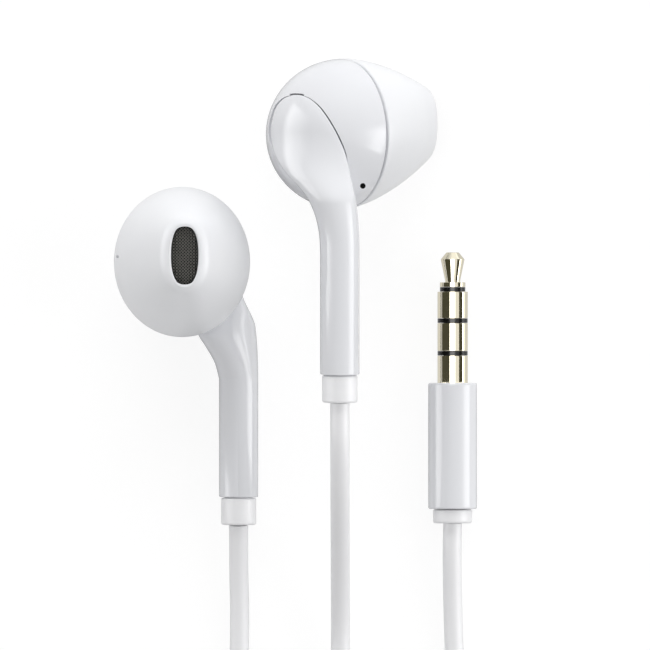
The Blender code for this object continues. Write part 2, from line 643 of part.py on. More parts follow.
# ---------------------------------------------------------------------- plug
def make_plug():
    """A four-pole plug, its contacts moulded on one insulating core."""
    place = empty("plug_place", (*PLUG_PLACE, HOUSING_RADIUS), Euler((-math.pi / 2, 0, 0), "XYZ"))
    gap = METAL_GAP
    core = CONTACT_BORE - gap
    flange = SLEEVE_END, RING_2_END, RING_1_END
    collar_top = RING_1_END + INSULATOR_WIDTH + 0.56 * MM
    rod_foot = -3.6 * MM
    cavity = HOUSING_RADIUS - HOUSING_WALL
    shoulder = -HOUSING_WALL - SEAT_GAP

    def contact(low, high):
        return [(CONTACT_BORE, low + gap), (PLUG_RADIUS, low + gap),
                (PLUG_RADIUS, high - gap), (CONTACT_BORE, high - gap)]

    insulator = [(ROD_RADIUS + gap, rod_foot + 0.6 * MM), (core, rod_foot + 0.6 * MM)]
    for low in flange:
        radius = TIP_BASE_RADIUS if low == RING_1_END else PLUG_RADIUS
        insulator += [(core, low), (radius, low), (radius, low + INSULATOR_WIDTH),
                      (core, low + INSULATOR_WIDTH)]
    insulator = insulator[:-1] + [(ROD_RADIUS + gap, RING_1_END + INSULATOR_WIDTH)]
    tip_foot = RING_1_END + INSULATOR_WIDTH + gap
    tip = [(0, rod_foot), (ROD_RADIUS, rod_foot), (ROD_RADIUS, tip_foot),
           (TIP_BASE_RADIUS, tip_foot), (TIP_BASE_RADIUS, collar_top),
           (TIP_WAIST_RADIUS, collar_top), (TIP_WAIST_RADIUS, collar_top + 0.2 * MM),
           (TIP_WIDE_RADIUS, PLUG_LENGTH - 0.9 * MM), (TIP_WIDE_RADIUS, PLUG_LENGTH - 0.7 * MM),
           (TIP_END_RADIUS, PLUG_LENGTH - 0.05 * MM), (0, PLUG_LENGTH)]
    sleeve = [(CONTACT_BORE, -3.0 * MM), (PLUG_RADIUS, -3.0 * MM),
              (PLUG_RADIUS, -1.8 * MM), (cavity - SEAT_GAP, -1.8 * MM),
              (cavity - SEAT_GAP, shoulder), (PLUG_RADIUS, shoulder),
              (PLUG_RADIUS, SLEEVE_END - gap), (CONTACT_BORE, SLEEVE_END - gap)]
    mouth = PLUG_RADIUS + SEAT_GAP
    edge = 0.25 * MM
    housing = [(mouth, 0), (mouth, -HOUSING_WALL), (cavity, -HOUSING_WALL),
               (cavity, -HOUSING_LENGTH), (HOUSING_RADIUS - edge, -HOUSING_LENGTH),
               (HOUSING_RADIUS, -HOUSING_LENGTH + edge), (HOUSING_RADIUS, -edge),
               (HOUSING_RADIUS - edge, 0)]
    mould_top = rod_foot - SEAT_GAP
    mould = [(0, -HOUSING_LENGTH + 0.1 * MM), (cavity - SEAT_GAP, -HOUSING_LENGTH + 0.1 * MM),
             (cavity - SEAT_GAP, mould_top), (0, mould_top)]
    collar_top_end = -HOUSING_LENGTH - SHELL_GAP / 2
    collar_foot = collar_top_end - COLLAR_LENGTH
    collar = [(0, collar_foot), (COLLAR_RADIUS - 0.2 * MM, collar_foot),
              (COLLAR_RADIUS, collar_foot + 0.2 * MM), (COLLAR_RADIUS, collar_top_end),
              (0, collar_top_end)]
    turned("plug_insulator", [insulator], black_plastic(), place)
    turned("plug_tip", [tip], pale_gold(), place)
    turned("plug_ring_1", [contact(RING_2_END + INSULATOR_WIDTH, RING_1_END)],
           pale_gold(), place)
    turned("plug_ring_2", [contact(SLEEVE_END + INSULATOR_WIDTH, RING_2_END)],
           pale_gold(), place)
    turned("plug_sleeve", [sleeve], pale_gold(), place)
    turned("plug_housing", [housing], gloss_white(), place, segments=SEGMENTS)
    turned("plug_inner_mould", [mould], soft_white(), place)
    turned("plug_collar", [collar], soft_white(), place)
    return place, collar_foot


# -------------------------------------------------------------------- remote
def rounded_bar(length, width, corner, height):
    """A level outline of a bar along Y with round corners."""
    steps = 4
    points = []
    for corner_x, corner_y, first in ((1, 1, 0), (-1, 1, 90), (-1, -1, 180), (1, -1, 270)):
        for i in range(steps + 1):
            turn = math.radians(first + 90 * i / steps)
            points.append(Vector((corner_x * (width / 2 - corner) + corner * math.cos(turn),
                                  corner_y * (length / 2 - corner) + corner * math.sin(turn),
                                  height)))
    return points


def bar(name, length, width, corner, low, high, look, parent, middle=0.0):
    """A solid bar between two heights, its middle along Y."""
    mesh = bmesh.new()
    loft(mesh, [rounded_bar(length, width, corner, height) for height in (low, high)])
    item = finish(name, mesh, look, parent)
    item.location.y = middle
    return item


def remote_cover(name, parent, outer, rim, look):
    """Half of the remote's case, from its outer face to its rim."""
    toward = 1 if rim > outer else -1
    edge = 0.6 * MM
    wall = REMOTE_WALL
    steps = [(edge, 0.0), (0.15 * MM, 0.22 * MM), (0.0, edge)]
    rings = [rounded_bar(REMOTE_LENGTH - 2 * inset, REMOTE_WIDTH - 2 * inset,
                         REMOTE_CORNER - inset, outer + toward * rise) for inset, rise in steps]
    rings.append(rounded_bar(REMOTE_LENGTH, REMOTE_WIDTH, REMOTE_CORNER, rim))
    for height in (rim, outer + toward * wall):
        rings.append(rounded_bar(REMOTE_LENGTH - 2 * wall, REMOTE_WIDTH - 2 * wall,
                                 REMOTE_CORNER - wall, height))
    mesh = bmesh.new()
    loft(mesh, rings)
    return finish(name, mesh, look, parent)


def make_dome_strip(parent, low, high):
    """One thin strip with a raised switch dome below each key."""
    half = SWITCH_WIDTH / 2
    film = low + STRIP_THICKNESS
    side_view = [(-KEY_SPACING - 2 * half, film), (-KEY_SPACING - 2 * half, low),
                 (KEY_SPACING + 2 * half, low), (KEY_SPACING + 2 * half, film)]
    for step in (1, 0, -1):
        middle = step * KEY_SPACING
        side_view += [(middle + half, film), (middle + half / 2, high),
                      (middle - half / 2, high), (middle - half, film)]
    mesh = bmesh.new()
    loft(mesh, [[Vector((x, y, z)) for y, z in side_view] for x in (-half, half)])
    return finish("remote_switches", mesh, bright_steel(), parent)


def make_remote():
    """Two cover halves, three keys over their switches, a board, a microphone."""
    place = empty("remote_place", (*REMOTE_PLACE, 0), Euler((0, 0, 0), "XYZ"))
    split = REMOTE_HEIGHT / 2
    ceiling = REMOTE_HEIGHT - REMOTE_WALL
    board_top = split + REMOTE_BOARD_THICKNESS / 2 - 0.1 * MM
    board_low = board_top - REMOTE_BOARD_THICKNESS
    key_top = REMOTE_HEIGHT + KEY_PROUD
    flange_top = ceiling - SEAT_GAP
    key_low = flange_top - KEY_FLANGE
    switch_top = key_low - KEY_TRAVEL - SWITCH_GAP
    remote_cover("remote_rear_cover", place, 0.0, split - SHELL_GAP / 2, gloss_white())
    front = remote_cover("remote_front_cover", place, REMOTE_HEIGHT, split + SHELL_GAP / 2,
                         gloss_white())
    keys = (("remote_key_up", 1, KEY_LENGTH, KEY_WIDTH, 1.2 * MM),
            ("remote_key_centre", 0, 2 * ROUND_KEY_RADIUS, 2 * ROUND_KEY_RADIUS,
             ROUND_KEY_RADIUS - 0.01 * MM),
            ("remote_key_down", -1, KEY_LENGTH, KEY_WIDTH, 1.2 * MM))
    flange_width = REMOTE_WIDTH - 2 * REMOTE_WALL - 2 * SEAT_GAP
    for name, step, length, width, corner in keys:
        middle = step * KEY_SPACING
        grow = 2 * KEY_CLEARANCE
        cutter = bar(name + "_cutter", length + grow, width + grow, corner + KEY_CLEARANCE,
                     ceiling - 0.5 * MM, key_top, gloss_white(), place, middle)
        cut(front, cutter)
        mesh = bmesh.new()
        flange_length = length + 0.6 * MM
        loft(mesh, [rounded_bar(flange_length, flange_width, corner, key_low),
                    rounded_bar(flange_length, flange_width, corner, flange_top),
                    rounded_bar(length, width, corner, flange_top),
                    rounded_bar(length, width, corner, key_top - 0.2 * MM),
                    rounded_bar(length - 0.3 * MM, width - 0.3 * MM, corner - 0.15 * MM,
                                key_top)])
        key = finish(name, mesh, soft_white(), place)
        key.location.y = middle
    bar("remote_board", REMOTE_LENGTH - 2 * REMOTE_WALL - 2 * SEAT_GAP, flange_width,
        REMOTE_CORNER - REMOTE_WALL - SEAT_GAP, board_low, board_top, green_board(), place)
    make_dome_strip(place, board_top + SEAT_GAP, switch_top)
    capsule = [(0, 0), (1.25 * MM, 0), (1.25 * MM, 0.9 * MM), (0, 0.9 * MM)]
    microphone = turned("remote_microphone", [capsule], magnet_nickel(), place, segments=16)
    microphone.location = (0, REMOTE_LENGTH / 2 - 3.6 * MM, board_top + SEAT_GAP)
    hole = cylinder("microphone_hole_cutter",
                    Vector((0, REMOTE_LENGTH / 2 - 3.6 * MM, ceiling - 0.5 * MM)),
                    Vector((0, REMOTE_LENGTH / 2 - 3.6 * MM, key_top)), 0.4 * MM,
                    gloss_white(), place, sides=8)
    cut(front, hole)
    foot = REMOTE_LENGTH / 2 + SHELL_GAP
    wide, narrow = REMOTE_RELIEF_RADII
    outline = [(0, 0), (wide, 0), (narrow, REMOTE_RELIEF_LENGTH), (0, REMOTE_RELIEF_LENGTH)]
    for way, end in ((1, "upper"), (-1, "lower")):
        relief = turned("remote_relief_" + end, [outline], soft_white(), place, segments=16)
        relief.location = (0, way * foot, split)
        relief.rotation_euler = (-way * math.pi / 2, 0, 0)
    return place


# ------------------------------------------------------ splitter and the coil
def make_splitter():
    """The moulded joint where the two ears' cables become one."""
    place = empty("splitter_place", (*SPLITTER_PLACE, SPLITTER_HEIGHT / 2 + 0.05 * MM),
                  Euler((0, math.pi / 2, 0), "XYZ"))
    mesh = bmesh.new()
    inset = 0.5 * MM
    corner = 1.5 * MM
    half = SPLITTER_LENGTH / 2
    rings = []
    for along, trim in ((-half, inset), (-half + inset, 0), (half - inset, 0), (half, inset)):
        rings.append(rounded_bar(SPLITTER_WIDTH - 2 * trim, SPLITTER_HEIGHT - 2 * trim,
                                 corner - trim, along))
    loft(mesh, rings)
    finish("splitter", mesh, soft_white(), place)
    return place


def coil_ring(name, low, layers):
    """The outside of one coil: so many layers, three turns across."""
    half = TURNS_ACROSS * COIL_PITCH / 2
    high = low + layers * COIL_PITCH
    edge = 0.45 * CABLE_RADIUS
    inner, outer = COIL_MEAN_RADIUS - half, COIL_MEAN_RADIUS + half
    outline = [(inner + edge, low), (outer - edge, low), (outer, low + edge),
               (outer, high - edge), (outer - edge, high), (inner + edge, high),
               (inner, high - edge), (inner, low + edge)]
    ring = turned(name, [outline], soft_white())
    ring.location = (*COIL_MIDDLE, 0)
    return high + CABLE_GAP


def make_coils():
    """Three coils in a stack with one flat tie around them."""
    base = TIE_THICKNESS + CABLE_GAP
    left_low = coil_ring("right_coil", base, 1)
    main_low = coil_ring("left_coil", left_low, 1)
    top = coil_ring("main_coil", main_low, MAIN_LAYERS)
    half = TURNS_ACROSS * COIL_PITCH / 2 + CABLE_GAP
    mesh = bmesh.new()
    rings = []
    for grow, across in ((0, -1), (TIE_THICKNESS, -1), (TIE_THICKNESS, 1), (0, 1)):
        near, far = COIL_MEAN_RADIUS - half - grow, COIL_MEAN_RADIUS + half + grow
        low, high = TIE_THICKNESS - grow, top + grow
        x = across * TIE_WIDTH / 2
        rings.append([Vector((x, near, low)), Vector((x, far, low)),
                      Vector((x, far, high)), Vector((x, near, high))])
    loft(mesh, rings, closed=True)
    tie = finish("cable_tie", mesh, black_plastic())
    tie.location = (*COIL_MIDDLE, 0)
    tie.rotation_euler = (0, 0, math.pi)


# -------------------------------------------------------------------- cables
POINT_SPACING = 5 * CABLE_RADIUS
BEND_SPACING = 2 * CABLE_RADIUS      # where the cable bends tightly

# Routes in mm, from the ear end to the plug end.  The ends at the earbuds and
# the plug are worked out from those pieces.
LEFT_ROUTE = [(-4.3, -32.0, 2.2), (-4.2, -37.0, 1.5), (-4.3, -44.0, 1.12), (-4.6, -53.0, 1.1),
              (-5.1, -63.0, 1.1), (-5.8, -74.0, 1.2), (-6.6, -84.0, 2.1), (-7.2, -92.0, 3.6),
              (-7.4, -98.1, 4.3)]
RIGHT_UPPER_ROUTE = [(7.32, -17.5, 16.5), (7.34, -23.0, 14.0), (7.36, -28.0, 10.0),
                     (7.38, -33.0, 6.0), (7.4, -37.5, 3.5), (7.4, -41.0, 2.6),
                     (7.4, -43.9, 2.5)]
RIGHT_LOWER_ROUTE = [(7.4, -83.1, 2.5), (7.1, -85.6, 2.25), (5.6, -87.8, 1.95),
                     (3.3, -89.9, 1.8)]
RIGHT_TAIL_ROUTE = [(-0.5, -108.6, 1.8), (-0.05, -109.15, 1.78), (1.4, -110.1, 1.65),
                    (3.2, -110.5, 1.6)]
LEFT_TAIL_ROUTE = [(-0.5, -108.6, 4.3), (-0.05, -109.15, 4.25), (1.4, -110.1, 4.0),
                   (3.2, -110.5, 3.9)]
MAIN_LEAD_ROUTE = [(12.8, -110.5, 2.75), (14.6, -110.1, 2.85), (16.05, -109.0, 3.15),
                   (16.5, -107.0, 3.8), (15.4, -102.9, 5.1), (12.3, -99.7, 6.3),
                   (8.0, -98.5, 6.8)]
MAIN_ROUTE = [(23.4, -98.1, 11.2), (23.3, -93.0, 10.6), (23.1, -87.0, 8.2), (22.8, -81.0, 5.0),
              (22.5, -75.0, 2.5), (22.2, -68.0, 1.3), (21.8, -60.0, 1.1), (21.3, -50.0, 1.1),
              (20.9, -41.0, 1.2), (20.5, -34.5, 1.9), (20.35, -30.0, 2.6)]


def route(points):
    return [Vector(point) * MM for point in points]


def smooth_points(points, spacing):
    """Read points at an even spacing from a smooth curve through a route."""
    ends = [2 * points[0] - points[1], *points, 2 * points[-1] - points[-2]]
    fine = []
    steps = 12
    for a, b, c, d in zip(ends, ends[1:], ends[2:], ends[3:]):
        for i in range(steps):
            t = i / steps
            fine.append(0.5 * (2 * b + (c - a) * t + (2 * a - 5 * b + 4 * c - d) * t ** 2
                               + (3 * b - a - 3 * c + d) * t ** 3))
    fine.append(points[-1])
    lengths = [0.0]
    for first, second in zip(fine, fine[1:]):
        lengths.append(lengths[-1] + (second - first).length)
    count = max(3, round(lengths[-1] / spacing))
    even = []
    for i in range(count + 1):
        wanted = lengths[-1] * i / count
        after = next((k for k, length in enumerate(lengths) if length >= wanted - 1e-9 and k), 1)
        span = lengths[after] - lengths[after - 1]
        point = fine[after - 1].lerp(fine[after], (wanted - lengths[after - 1]) / span)
        point.z = max(point.z, CABLE_RADIUS)
        even.append(point)
    return even


def make_cable(name, points, spacing=POINT_SPACING):
    """A plain tube along a smooth curve through the points."""
    curve = bpy.data.curves.new(name, "CURVE")
    curve.dimensions = "3D"
    curve.bevel_depth = CABLE_RADIUS
    curve.bevel_resolution = 2
    curve.use_fill_caps = True
    spline = curve.splines.new("POLY")
    even = smooth_points(points, spacing)
    spline.points.add(len(even) - 1)
    for slot, point in zip(spline.points, even):
        slot.co = (*point, 1)
    curve.materials.append(soft_white())
    item = bpy.data.objects.new(name, curve)
    bpy.context.scene.collection.objects.link(item)
    return item


def bud_exit(bud, side):
    """Where the cable starts, just clear of the bud's strain relief."""
    end = STEM_END - RELIEF_LENGTH - CABLE_GAP
    turn = bud.rotation_euler.to_matrix()
    return bud.location + turn @ stem_axis_point(end, side)


def main():
    clear_scene()
    right = make_bud(1, "right", RIGHT_HEAD, RIGHT_PITCH, 0.0)
    left = make_bud(-1, "left", LEFT_HEAD, LEFT_PITCH, LEFT_TURN)
    plug, collar_foot = make_plug()
    make_remote()
    make_splitter()
    make_coils()
    plug_exit = plug.location + Vector((0, collar_foot - CABLE_GAP, 0))
    make_cable("left_cable", [bud_exit(left, -1), *route(LEFT_ROUTE)])
    make_cable("right_cable_upper", [bud_exit(right, 1), *route(RIGHT_UPPER_ROUTE)])
    make_cable("right_cable_lower", route(RIGHT_LOWER_ROUTE), BEND_SPACING)
    make_cable("right_cable_tail", route(RIGHT_TAIL_ROUTE), BEND_SPACING)
    make_cable("left_cable_tail", route(LEFT_TAIL_ROUTE), BEND_SPACING)
    make_cable("main_cable_lead", route(MAIN_LEAD_ROUTE), BEND_SPACING)
    make_cable("main_cable", [*route(MAIN_ROUTE), plug_exit])
    bpy.context.view_layer.update()


main()
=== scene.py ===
# %% [markdown]
# # Wired earphones: the finish
#
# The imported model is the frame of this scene: every piece below is made in the
# same metres and at the same place as the solids that carry it. The set lies on
# a table with +Y up the picture and +Z towards the camera. Each earbud has a
# satin front shell with a sound port and a glossy back dome, whose stem ends in
# a teardrop cap.

import math

import bmesh
import bpy
import numpy as np
from mathutils import Euler, Matrix, Vector


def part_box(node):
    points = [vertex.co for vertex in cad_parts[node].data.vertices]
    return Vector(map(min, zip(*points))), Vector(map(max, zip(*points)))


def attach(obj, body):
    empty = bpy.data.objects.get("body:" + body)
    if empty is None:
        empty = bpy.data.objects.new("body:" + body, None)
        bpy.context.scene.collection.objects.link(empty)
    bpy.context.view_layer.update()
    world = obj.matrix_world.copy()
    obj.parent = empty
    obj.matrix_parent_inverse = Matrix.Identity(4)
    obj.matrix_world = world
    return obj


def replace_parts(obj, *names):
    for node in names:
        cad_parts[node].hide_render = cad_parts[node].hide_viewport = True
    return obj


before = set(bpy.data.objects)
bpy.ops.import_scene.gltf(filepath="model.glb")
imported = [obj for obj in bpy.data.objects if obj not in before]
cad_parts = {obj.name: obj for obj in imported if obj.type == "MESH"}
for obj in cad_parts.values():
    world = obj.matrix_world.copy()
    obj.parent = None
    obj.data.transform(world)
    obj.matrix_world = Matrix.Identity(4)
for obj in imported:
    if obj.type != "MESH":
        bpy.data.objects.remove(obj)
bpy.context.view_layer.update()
MM = 0.001

# %% [markdown]
# ## Camera
#
# The picture looks straight down on the table. A long lens far away keeps the
# round heads round. The scale comes from the 3.5 mm plug, which is 30.3 pixels
# wide in the 650 pixel picture, so a millimetre is about 8.7 pixels.

# %% Camera straight above the set
PICTURE_PIXELS = 650
PIXELS_PER_MM = 8.7
SENSOR_MM = 36.0
CAMERA_DISTANCE = 1600 * MM
SCALE_PLANE = 4 * MM
VIEW_MIDDLE = (5.62 * MM, -3.75 * MM)

lens_pixels = PIXELS_PER_MM / MM * CAMERA_DISTANCE
camera_data = bpy.data.cameras.new("camera")
camera_data.sensor_width = SENSOR_MM
camera_data.lens = SENSOR_MM * lens_pixels / PICTURE_PIXELS
camera_data.clip_start = 10 * MM
camera_data.clip_end = 5.0
camera = bpy.data.objects.new("camera", camera_data)
camera.location = (*VIEW_MIDDLE, SCALE_PLANE + CAMERA_DISTANCE)
bpy.context.scene.collection.objects.link(camera)
bpy.context.scene.camera = camera
print("lens %.0f mm" % camera_data.lens)

# %% [markdown]
# ## Sizes
#
# These are the driving sizes of the real product, in metres. The head is an
# ellipse at its seam, a dome behind it and a tapered shell in front of it. The
# nozzle axis leans 130 degrees away from the face that the right bud shows.

# %% Sizes of the earbud
RIM_HALF_WIDTH = 7.8 * MM
RIM_HALF_HEIGHT = 8.6 * MM
DOME_DEPTH = 9.5 * MM
SHELL_WALL = 0.9 * MM
SEAM_GAP = 0.3 * MM
NOZZLE_ANGLE = math.radians(130)
NOZZLE_REACH = 12.2 * MM
NOZZLE_RISE = 0.9 * MM
NOZZLE_HALF_WIDTH = 2.45 * MM
NOZZLE_HALF_HEIGHT = 4.0 * MM
NOZZLE_EDGE_RADIUS = 0.7 * MM
NOZZLE_SQUARENESS = 2.4
FRONT_TAPER = 1.5
OPENING_HALF_WIDTH = 1.55 * MM
OPENING_HALF_HEIGHT = 3.4 * MM
MESH_RECESS = 0.8 * MM
CABLE_RADIUS = 1.1 * MM
print("head %.1f by %.1f mm" % (2 * RIM_HALF_WIDTH / MM, 2 * RIM_HALF_HEIGHT / MM))

# %% Sizes of the stem and its cap
STEM_RADIUS = 2.25 * MM
STEM_OFFSET_X = -0.5 * MM
STEM_OFFSET_Z = 9.1 * MM
STEM_END = -27.1 * MM
STEM_STRAIGHT_FROM = -13.5 * MM
CAP_PROUD = 0.25 * MM
BLEND_TOP = 0.5 * MM
BLEND_LENGTH = 8.0 * MM
RELIEF_RADIUS = 2.02 * MM
RELIEF_LENGTH = 3.2 * MM
# height on the head, middle, half width and thickness of the cap, in mm
CAP_TIP = (4.66, -5.32, 0.0, 0.9)
CAP_SECTIONS = [
    (4.58, -5.32, 0.60, 0.9),
    (4.25, -5.33, 1.42, 1.0),
    (3.45, -5.24, 2.30, 1.1),
    (2.40, -5.06, 2.95, 1.1),
    (1.20, -4.82, 3.46, 1.1),
    (0.00, -4.52, 3.80, 1.2),
    (-1.60, -4.04, 4.02, 1.5),
    (-3.00, -3.52, 3.92, 2.3),
    (-4.40, -2.86, 3.58, 3.8),
    (-5.60, -2.14, 3.15, 5.6),
    (-7.00, -1.45, 2.75, 7.2),
    (-8.40, -1.02, 2.52, 7.5),
    (-9.80, -0.74, 2.36, 6.6),
    (-11.60, -0.55, 2.27, 5.3),
]
print("stem %.1f mm thick, its cap in %d sections" % (2 * STEM_RADIUS / MM, len(CAP_SECTIONS)))

# %% Where the earbuds lie
LEFT_HEAD = (-10.74 * MM, 3.46 * MM)
RIGHT_HEAD = (7.81 * MM, 18.16 * MM)
LEFT_TURN = math.radians(132)
LEFT_PITCH = math.radians(1.0)
RIGHT_PITCH = math.radians(3.0)


NOZZLE_AXIS = Vector((math.sin(NOZZLE_ANGLE), 0, math.cos(NOZZLE_ANGLE)))
SIDE_AXIS = Vector((-math.cos(NOZZLE_ANGLE), 0, math.sin(NOZZLE_ANGLE)))
UP_AXIS = Vector((0, 1, 0))
MAGNET_DEPTH = -2.25 * MM


def node_middle(node):
    low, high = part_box(node)
    return (low + high) / 2


def bud_matrix(name, side, head, pitch, turn):
    """The earbud's place.  Its height is read from the magnet in the frame."""
    spin = Euler((pitch, turn, 0), "YXZ").to_matrix().to_4x4()
    magnet = spin @ (MAGNET_DEPTH * Vector((side * NOZZLE_AXIS.x, 0, NOZZLE_AXIS.z)))
    found = node_middle(name + "_magnet")
    drift = (Vector(head) - (found - magnet).to_2d()).length
    print("%s: %.3f mm off the frame" % (name, drift / MM))
    return Matrix.Translation((*head, (found - magnet).z)) @ spin


BUD_PLACES = {
    "left": (-1, bud_matrix("left", -1, LEFT_HEAD, LEFT_PITCH, LEFT_TURN)),
    "right": (1, bud_matrix("right", 1, RIGHT_HEAD, RIGHT_PITCH, 0.0)),
}

# %% [markdown]
# ## Cables
#
# A cable is one long tube of soft white plastic. It could be a simulated rope,
# but a route of a few listed points with a smooth curve through them lies
# as calmly as the real one and keeps its exact length. The routes below are the
# ones that the solids follow. The spare length is wound in turns that lie a
# cable's width apart, so every turn is worked out by a loop.

# %% Routes in millimetres, from the ear end to the plug end
LEFT_ROUTE = [(-4.3, -32.0, 2.2), (-4.2, -37.0, 1.5), (-4.3, -44.0, 1.12), (-4.6, -53.0, 1.1),
              (-5.1, -63.0, 1.1), (-5.8, -74.0, 1.2), (-6.6, -84.0, 2.1), (-7.2, -92.0, 3.6),
              (-7.4, -98.1, 4.3)]
RIGHT_UPPER_ROUTE = [(7.32, -17.5, 16.5), (7.34, -23.0, 14.0), (7.36, -28.0, 10.0),
                     (7.38, -33.0, 6.0), (7.4, -37.5, 3.5), (7.4, -41.0, 2.6),
                     (7.4, -43.9, 2.5)]
RIGHT_LOWER_ROUTE = [(7.4, -83.1, 2.5), (7.1, -85.6, 2.25), (5.6, -87.8, 1.95),
                     (3.3, -89.9, 1.8)]
RIGHT_TAIL_ROUTE = [(-0.5, -108.6, 1.8), (-0.05, -109.15, 1.78), (1.4, -110.1, 1.65),
                    (3.9, -110.5, 1.6)]
LEFT_TAIL_ROUTE = [(-0.5, -108.6, 4.3), (-0.05, -109.15, 4.25), (1.4, -110.1, 4.0),
                   (3.9, -110.5, 3.9)]
MAIN_LEAD_ROUTE = [(12.1, -110.5, 2.75), (14.6, -110.1, 2.85), (16.05, -109.0, 3.15),
                   (16.5, -107.0, 3.8), (15.4, -102.9, 5.1), (12.3, -99.7, 6.3),
                   (8.0, -98.5, 6.8)]
MAIN_ROUTE = [(23.4, -98.1, 11.2), (23.3, -93.0, 10.6), (23.1, -87.0, 8.2), (22.8, -81.0, 5.0),
              (22.5, -75.0, 2.5), (22.1, -68.0, 1.3), (21.5, -60.0, 1.1), (20.9, -50.0, 1.1),
              (20.5, -41.0, 1.2), (20.3, -34.5, 1.9), (20.25, -30.0, 2.6)]
print("the way back to the plug has", len(MAIN_ROUTE), "points")

# %% The wound turns
COIL_MIDDLE = Vector((8.0 * MM, -107.0 * MM, 0))
COIL_MEAN_RADIUS = 13.2 * MM
COIL_PITCH = 2 * CABLE_RADIUS
TURNS_ACROSS, TURNS_HIGH = 3, 3
POINTS_PER_TURN = 40
TIE_DEGREES = 270
STEP_DEGREES = 25               # a turn takes this long to step up or across
ENTRY_DEGREES = 60              # the first turn starts nearer the middle
ENTRY_INSET = 2.0 * MM


def route(points):
    return [Vector(point) * MM for point in points]


def coil_point(degrees, radius, height):
    turn = math.radians(degrees)
    around = Vector((math.cos(turn), math.sin(turn), 0)) * radius
    return COIL_MIDDLE + around + Vector((0, 0, height))


def flat_spiral(height, first_degrees, last_degrees, last_radius):
    """Turns side by side, from the outside in, at one height.

    They step in by one cable per turn until the last of them is under the
    tie.  Only then the end leaves for the middle.
    """
    points = []
    steps = round((last_degrees - first_degrees) / 360 * POINTS_PER_TURN)
    last_tie = TIE_DEGREES + 360 * (TURNS_ACROSS - 1)
    for i in range(1, steps):
        degrees = first_degrees + (last_degrees - first_degrees) * i / steps
        turns = (min(max(degrees, TIE_DEGREES), last_tie) - TIE_DEGREES) / 360
        radius = COIL_MEAN_RADIUS + (1 - turns) * COIL_PITCH
        leaving = max(degrees - last_tie, 0) / (last_degrees - last_tie)
        points.append(coil_point(degrees, radius + (last_radius - radius) * leaving, height))
    return points


def ease(value):
    value = min(max(value, 0.0), 1.0)
    return value * value * (3 - 2 * value)


def stacked_winding(base, first_degrees, last_degrees, step_place):
    """Three columns of three turns.  Each turn steps over at one place."""
    points = []
    inner = COIL_MEAN_RADIUS - COIL_PITCH
    count = round((last_degrees - first_degrees) / 360 * POINTS_PER_TURN)
    for i in range(count + 1):
        degrees = first_degrees + (last_degrees - first_degrees) * i / count
        level, column = 0.0, 0.0
        for step in range(1, TURNS_ACROSS * TURNS_HIGH):
            past = degrees - step_place - 360 * step
            if step % TURNS_HIGH:
                upward = (step // TURNS_HIGH) % 2 == 0
                level += ease(past / STEP_DEGREES) * (1 if upward else -1)
            else:
                column += ease((past - STEP_DEGREES) / STEP_DEGREES)
        entry = (1 - ease((degrees - first_degrees) / ENTRY_DEGREES)) * ENTRY_INSET
        points.append(coil_point(degrees, inner + column * COIL_PITCH - entry,
                                 base + level * COIL_PITCH))
    return points


print("wound in", TURNS_ACROSS, "by", TURNS_HIGH, "turns")

# %% One smooth cable through a route
ROUTE_STEPS = 12
POINT_SPACING = 1.1 * MM


def smooth_run(rows, steps):
    """A smooth curve through all rows but the first and last, which guide it."""
    run = []
    for a, b, c, d in zip(rows, rows[1:], rows[2:], rows[3:]):
        for t in (i / steps for i in range(steps)):
            run.append(0.5 * (2 * b + (c - a) * t + (2 * a - 5 * b + 4 * c - d) * t ** 2
                              + (3 * b - a - 3 * c + d) * t ** 3))
    return run + [rows[-2]]


def smooth_curve(points):
    """The points on a smooth curve at an even spacing, and its length."""
    ends = [2 * points[0] - points[1], *points, 2 * points[-1] - points[-2]]
    places = np.array([tuple(point) for point in smooth_run(ends, ROUTE_STEPS)])
    lengths = np.concatenate([[0], np.cumsum(np.linalg.norm(np.diff(places, axis=0), axis=1))])
    even = np.linspace(0, lengths[-1], max(4, round(lengths[-1] / POINT_SPACING)) + 1)
    read = np.stack([np.interp(even, lengths, places[:, k]) for k in range(3)], axis=1)
    read[:, 2] = np.maximum(read[:, 2], CABLE_RADIUS)
    return [Vector(point) for point in read], float(lengths[-1])


def make_cable(name, points):
    """A round tube with closed ends.  Returns it with its length."""
    path, length = smooth_curve(points)
    curve = bpy.data.curves.new(name, "CURVE")
    curve.dimensions = "3D"
    curve.bevel_depth = 1.0         # each point's own radius sets the thickness
    curve.bevel_resolution = 6
    curve.use_fill_caps = True
    spline = curve.splines.new("POLY")
    spline.points.add(len(path) - 1)
    for spot, point in zip(spline.points, path):
        spot.co = (*point, 1)
        spot.radius = CABLE_RADIUS
    cable = bpy.data.objects.new(name, curve)
    bpy.context.scene.collection.objects.link(cable)
    print("%s: %.0f mm, %d points" % (name, length / MM, len(path)))
    return cable, length

# %% Lay the four cables
CABLE_SEAT = 0.05 * MM          # how far a cable reaches into its strain relief
TAIL_RADIUS = 8.65 * MM
SPIRAL_END = 180 + 360 * TURNS_ACROSS
collar_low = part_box("plug_collar")[0]


def relief_exit(node, pitch):
    """The middle of a strain relief's lower face."""
    low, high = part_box(node)
    dip = RELIEF_RADIUS * math.cos(pitch)
    return Vector(((low.x + high.x) / 2, low.y + CABLE_SEAT, low.z + dip))


left_exit = relief_exit("left_strain_relief", LEFT_PITCH)
right_exit = relief_exit("right_strain_relief", RIGHT_PITCH)
plug_exit = node_middle("plug_collar")
plug_exit.y = collar_low.y
main_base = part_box("main_coil")[0].z + CABLE_RADIUS
print("exits:", left_exit, right_exit, plug_exit)

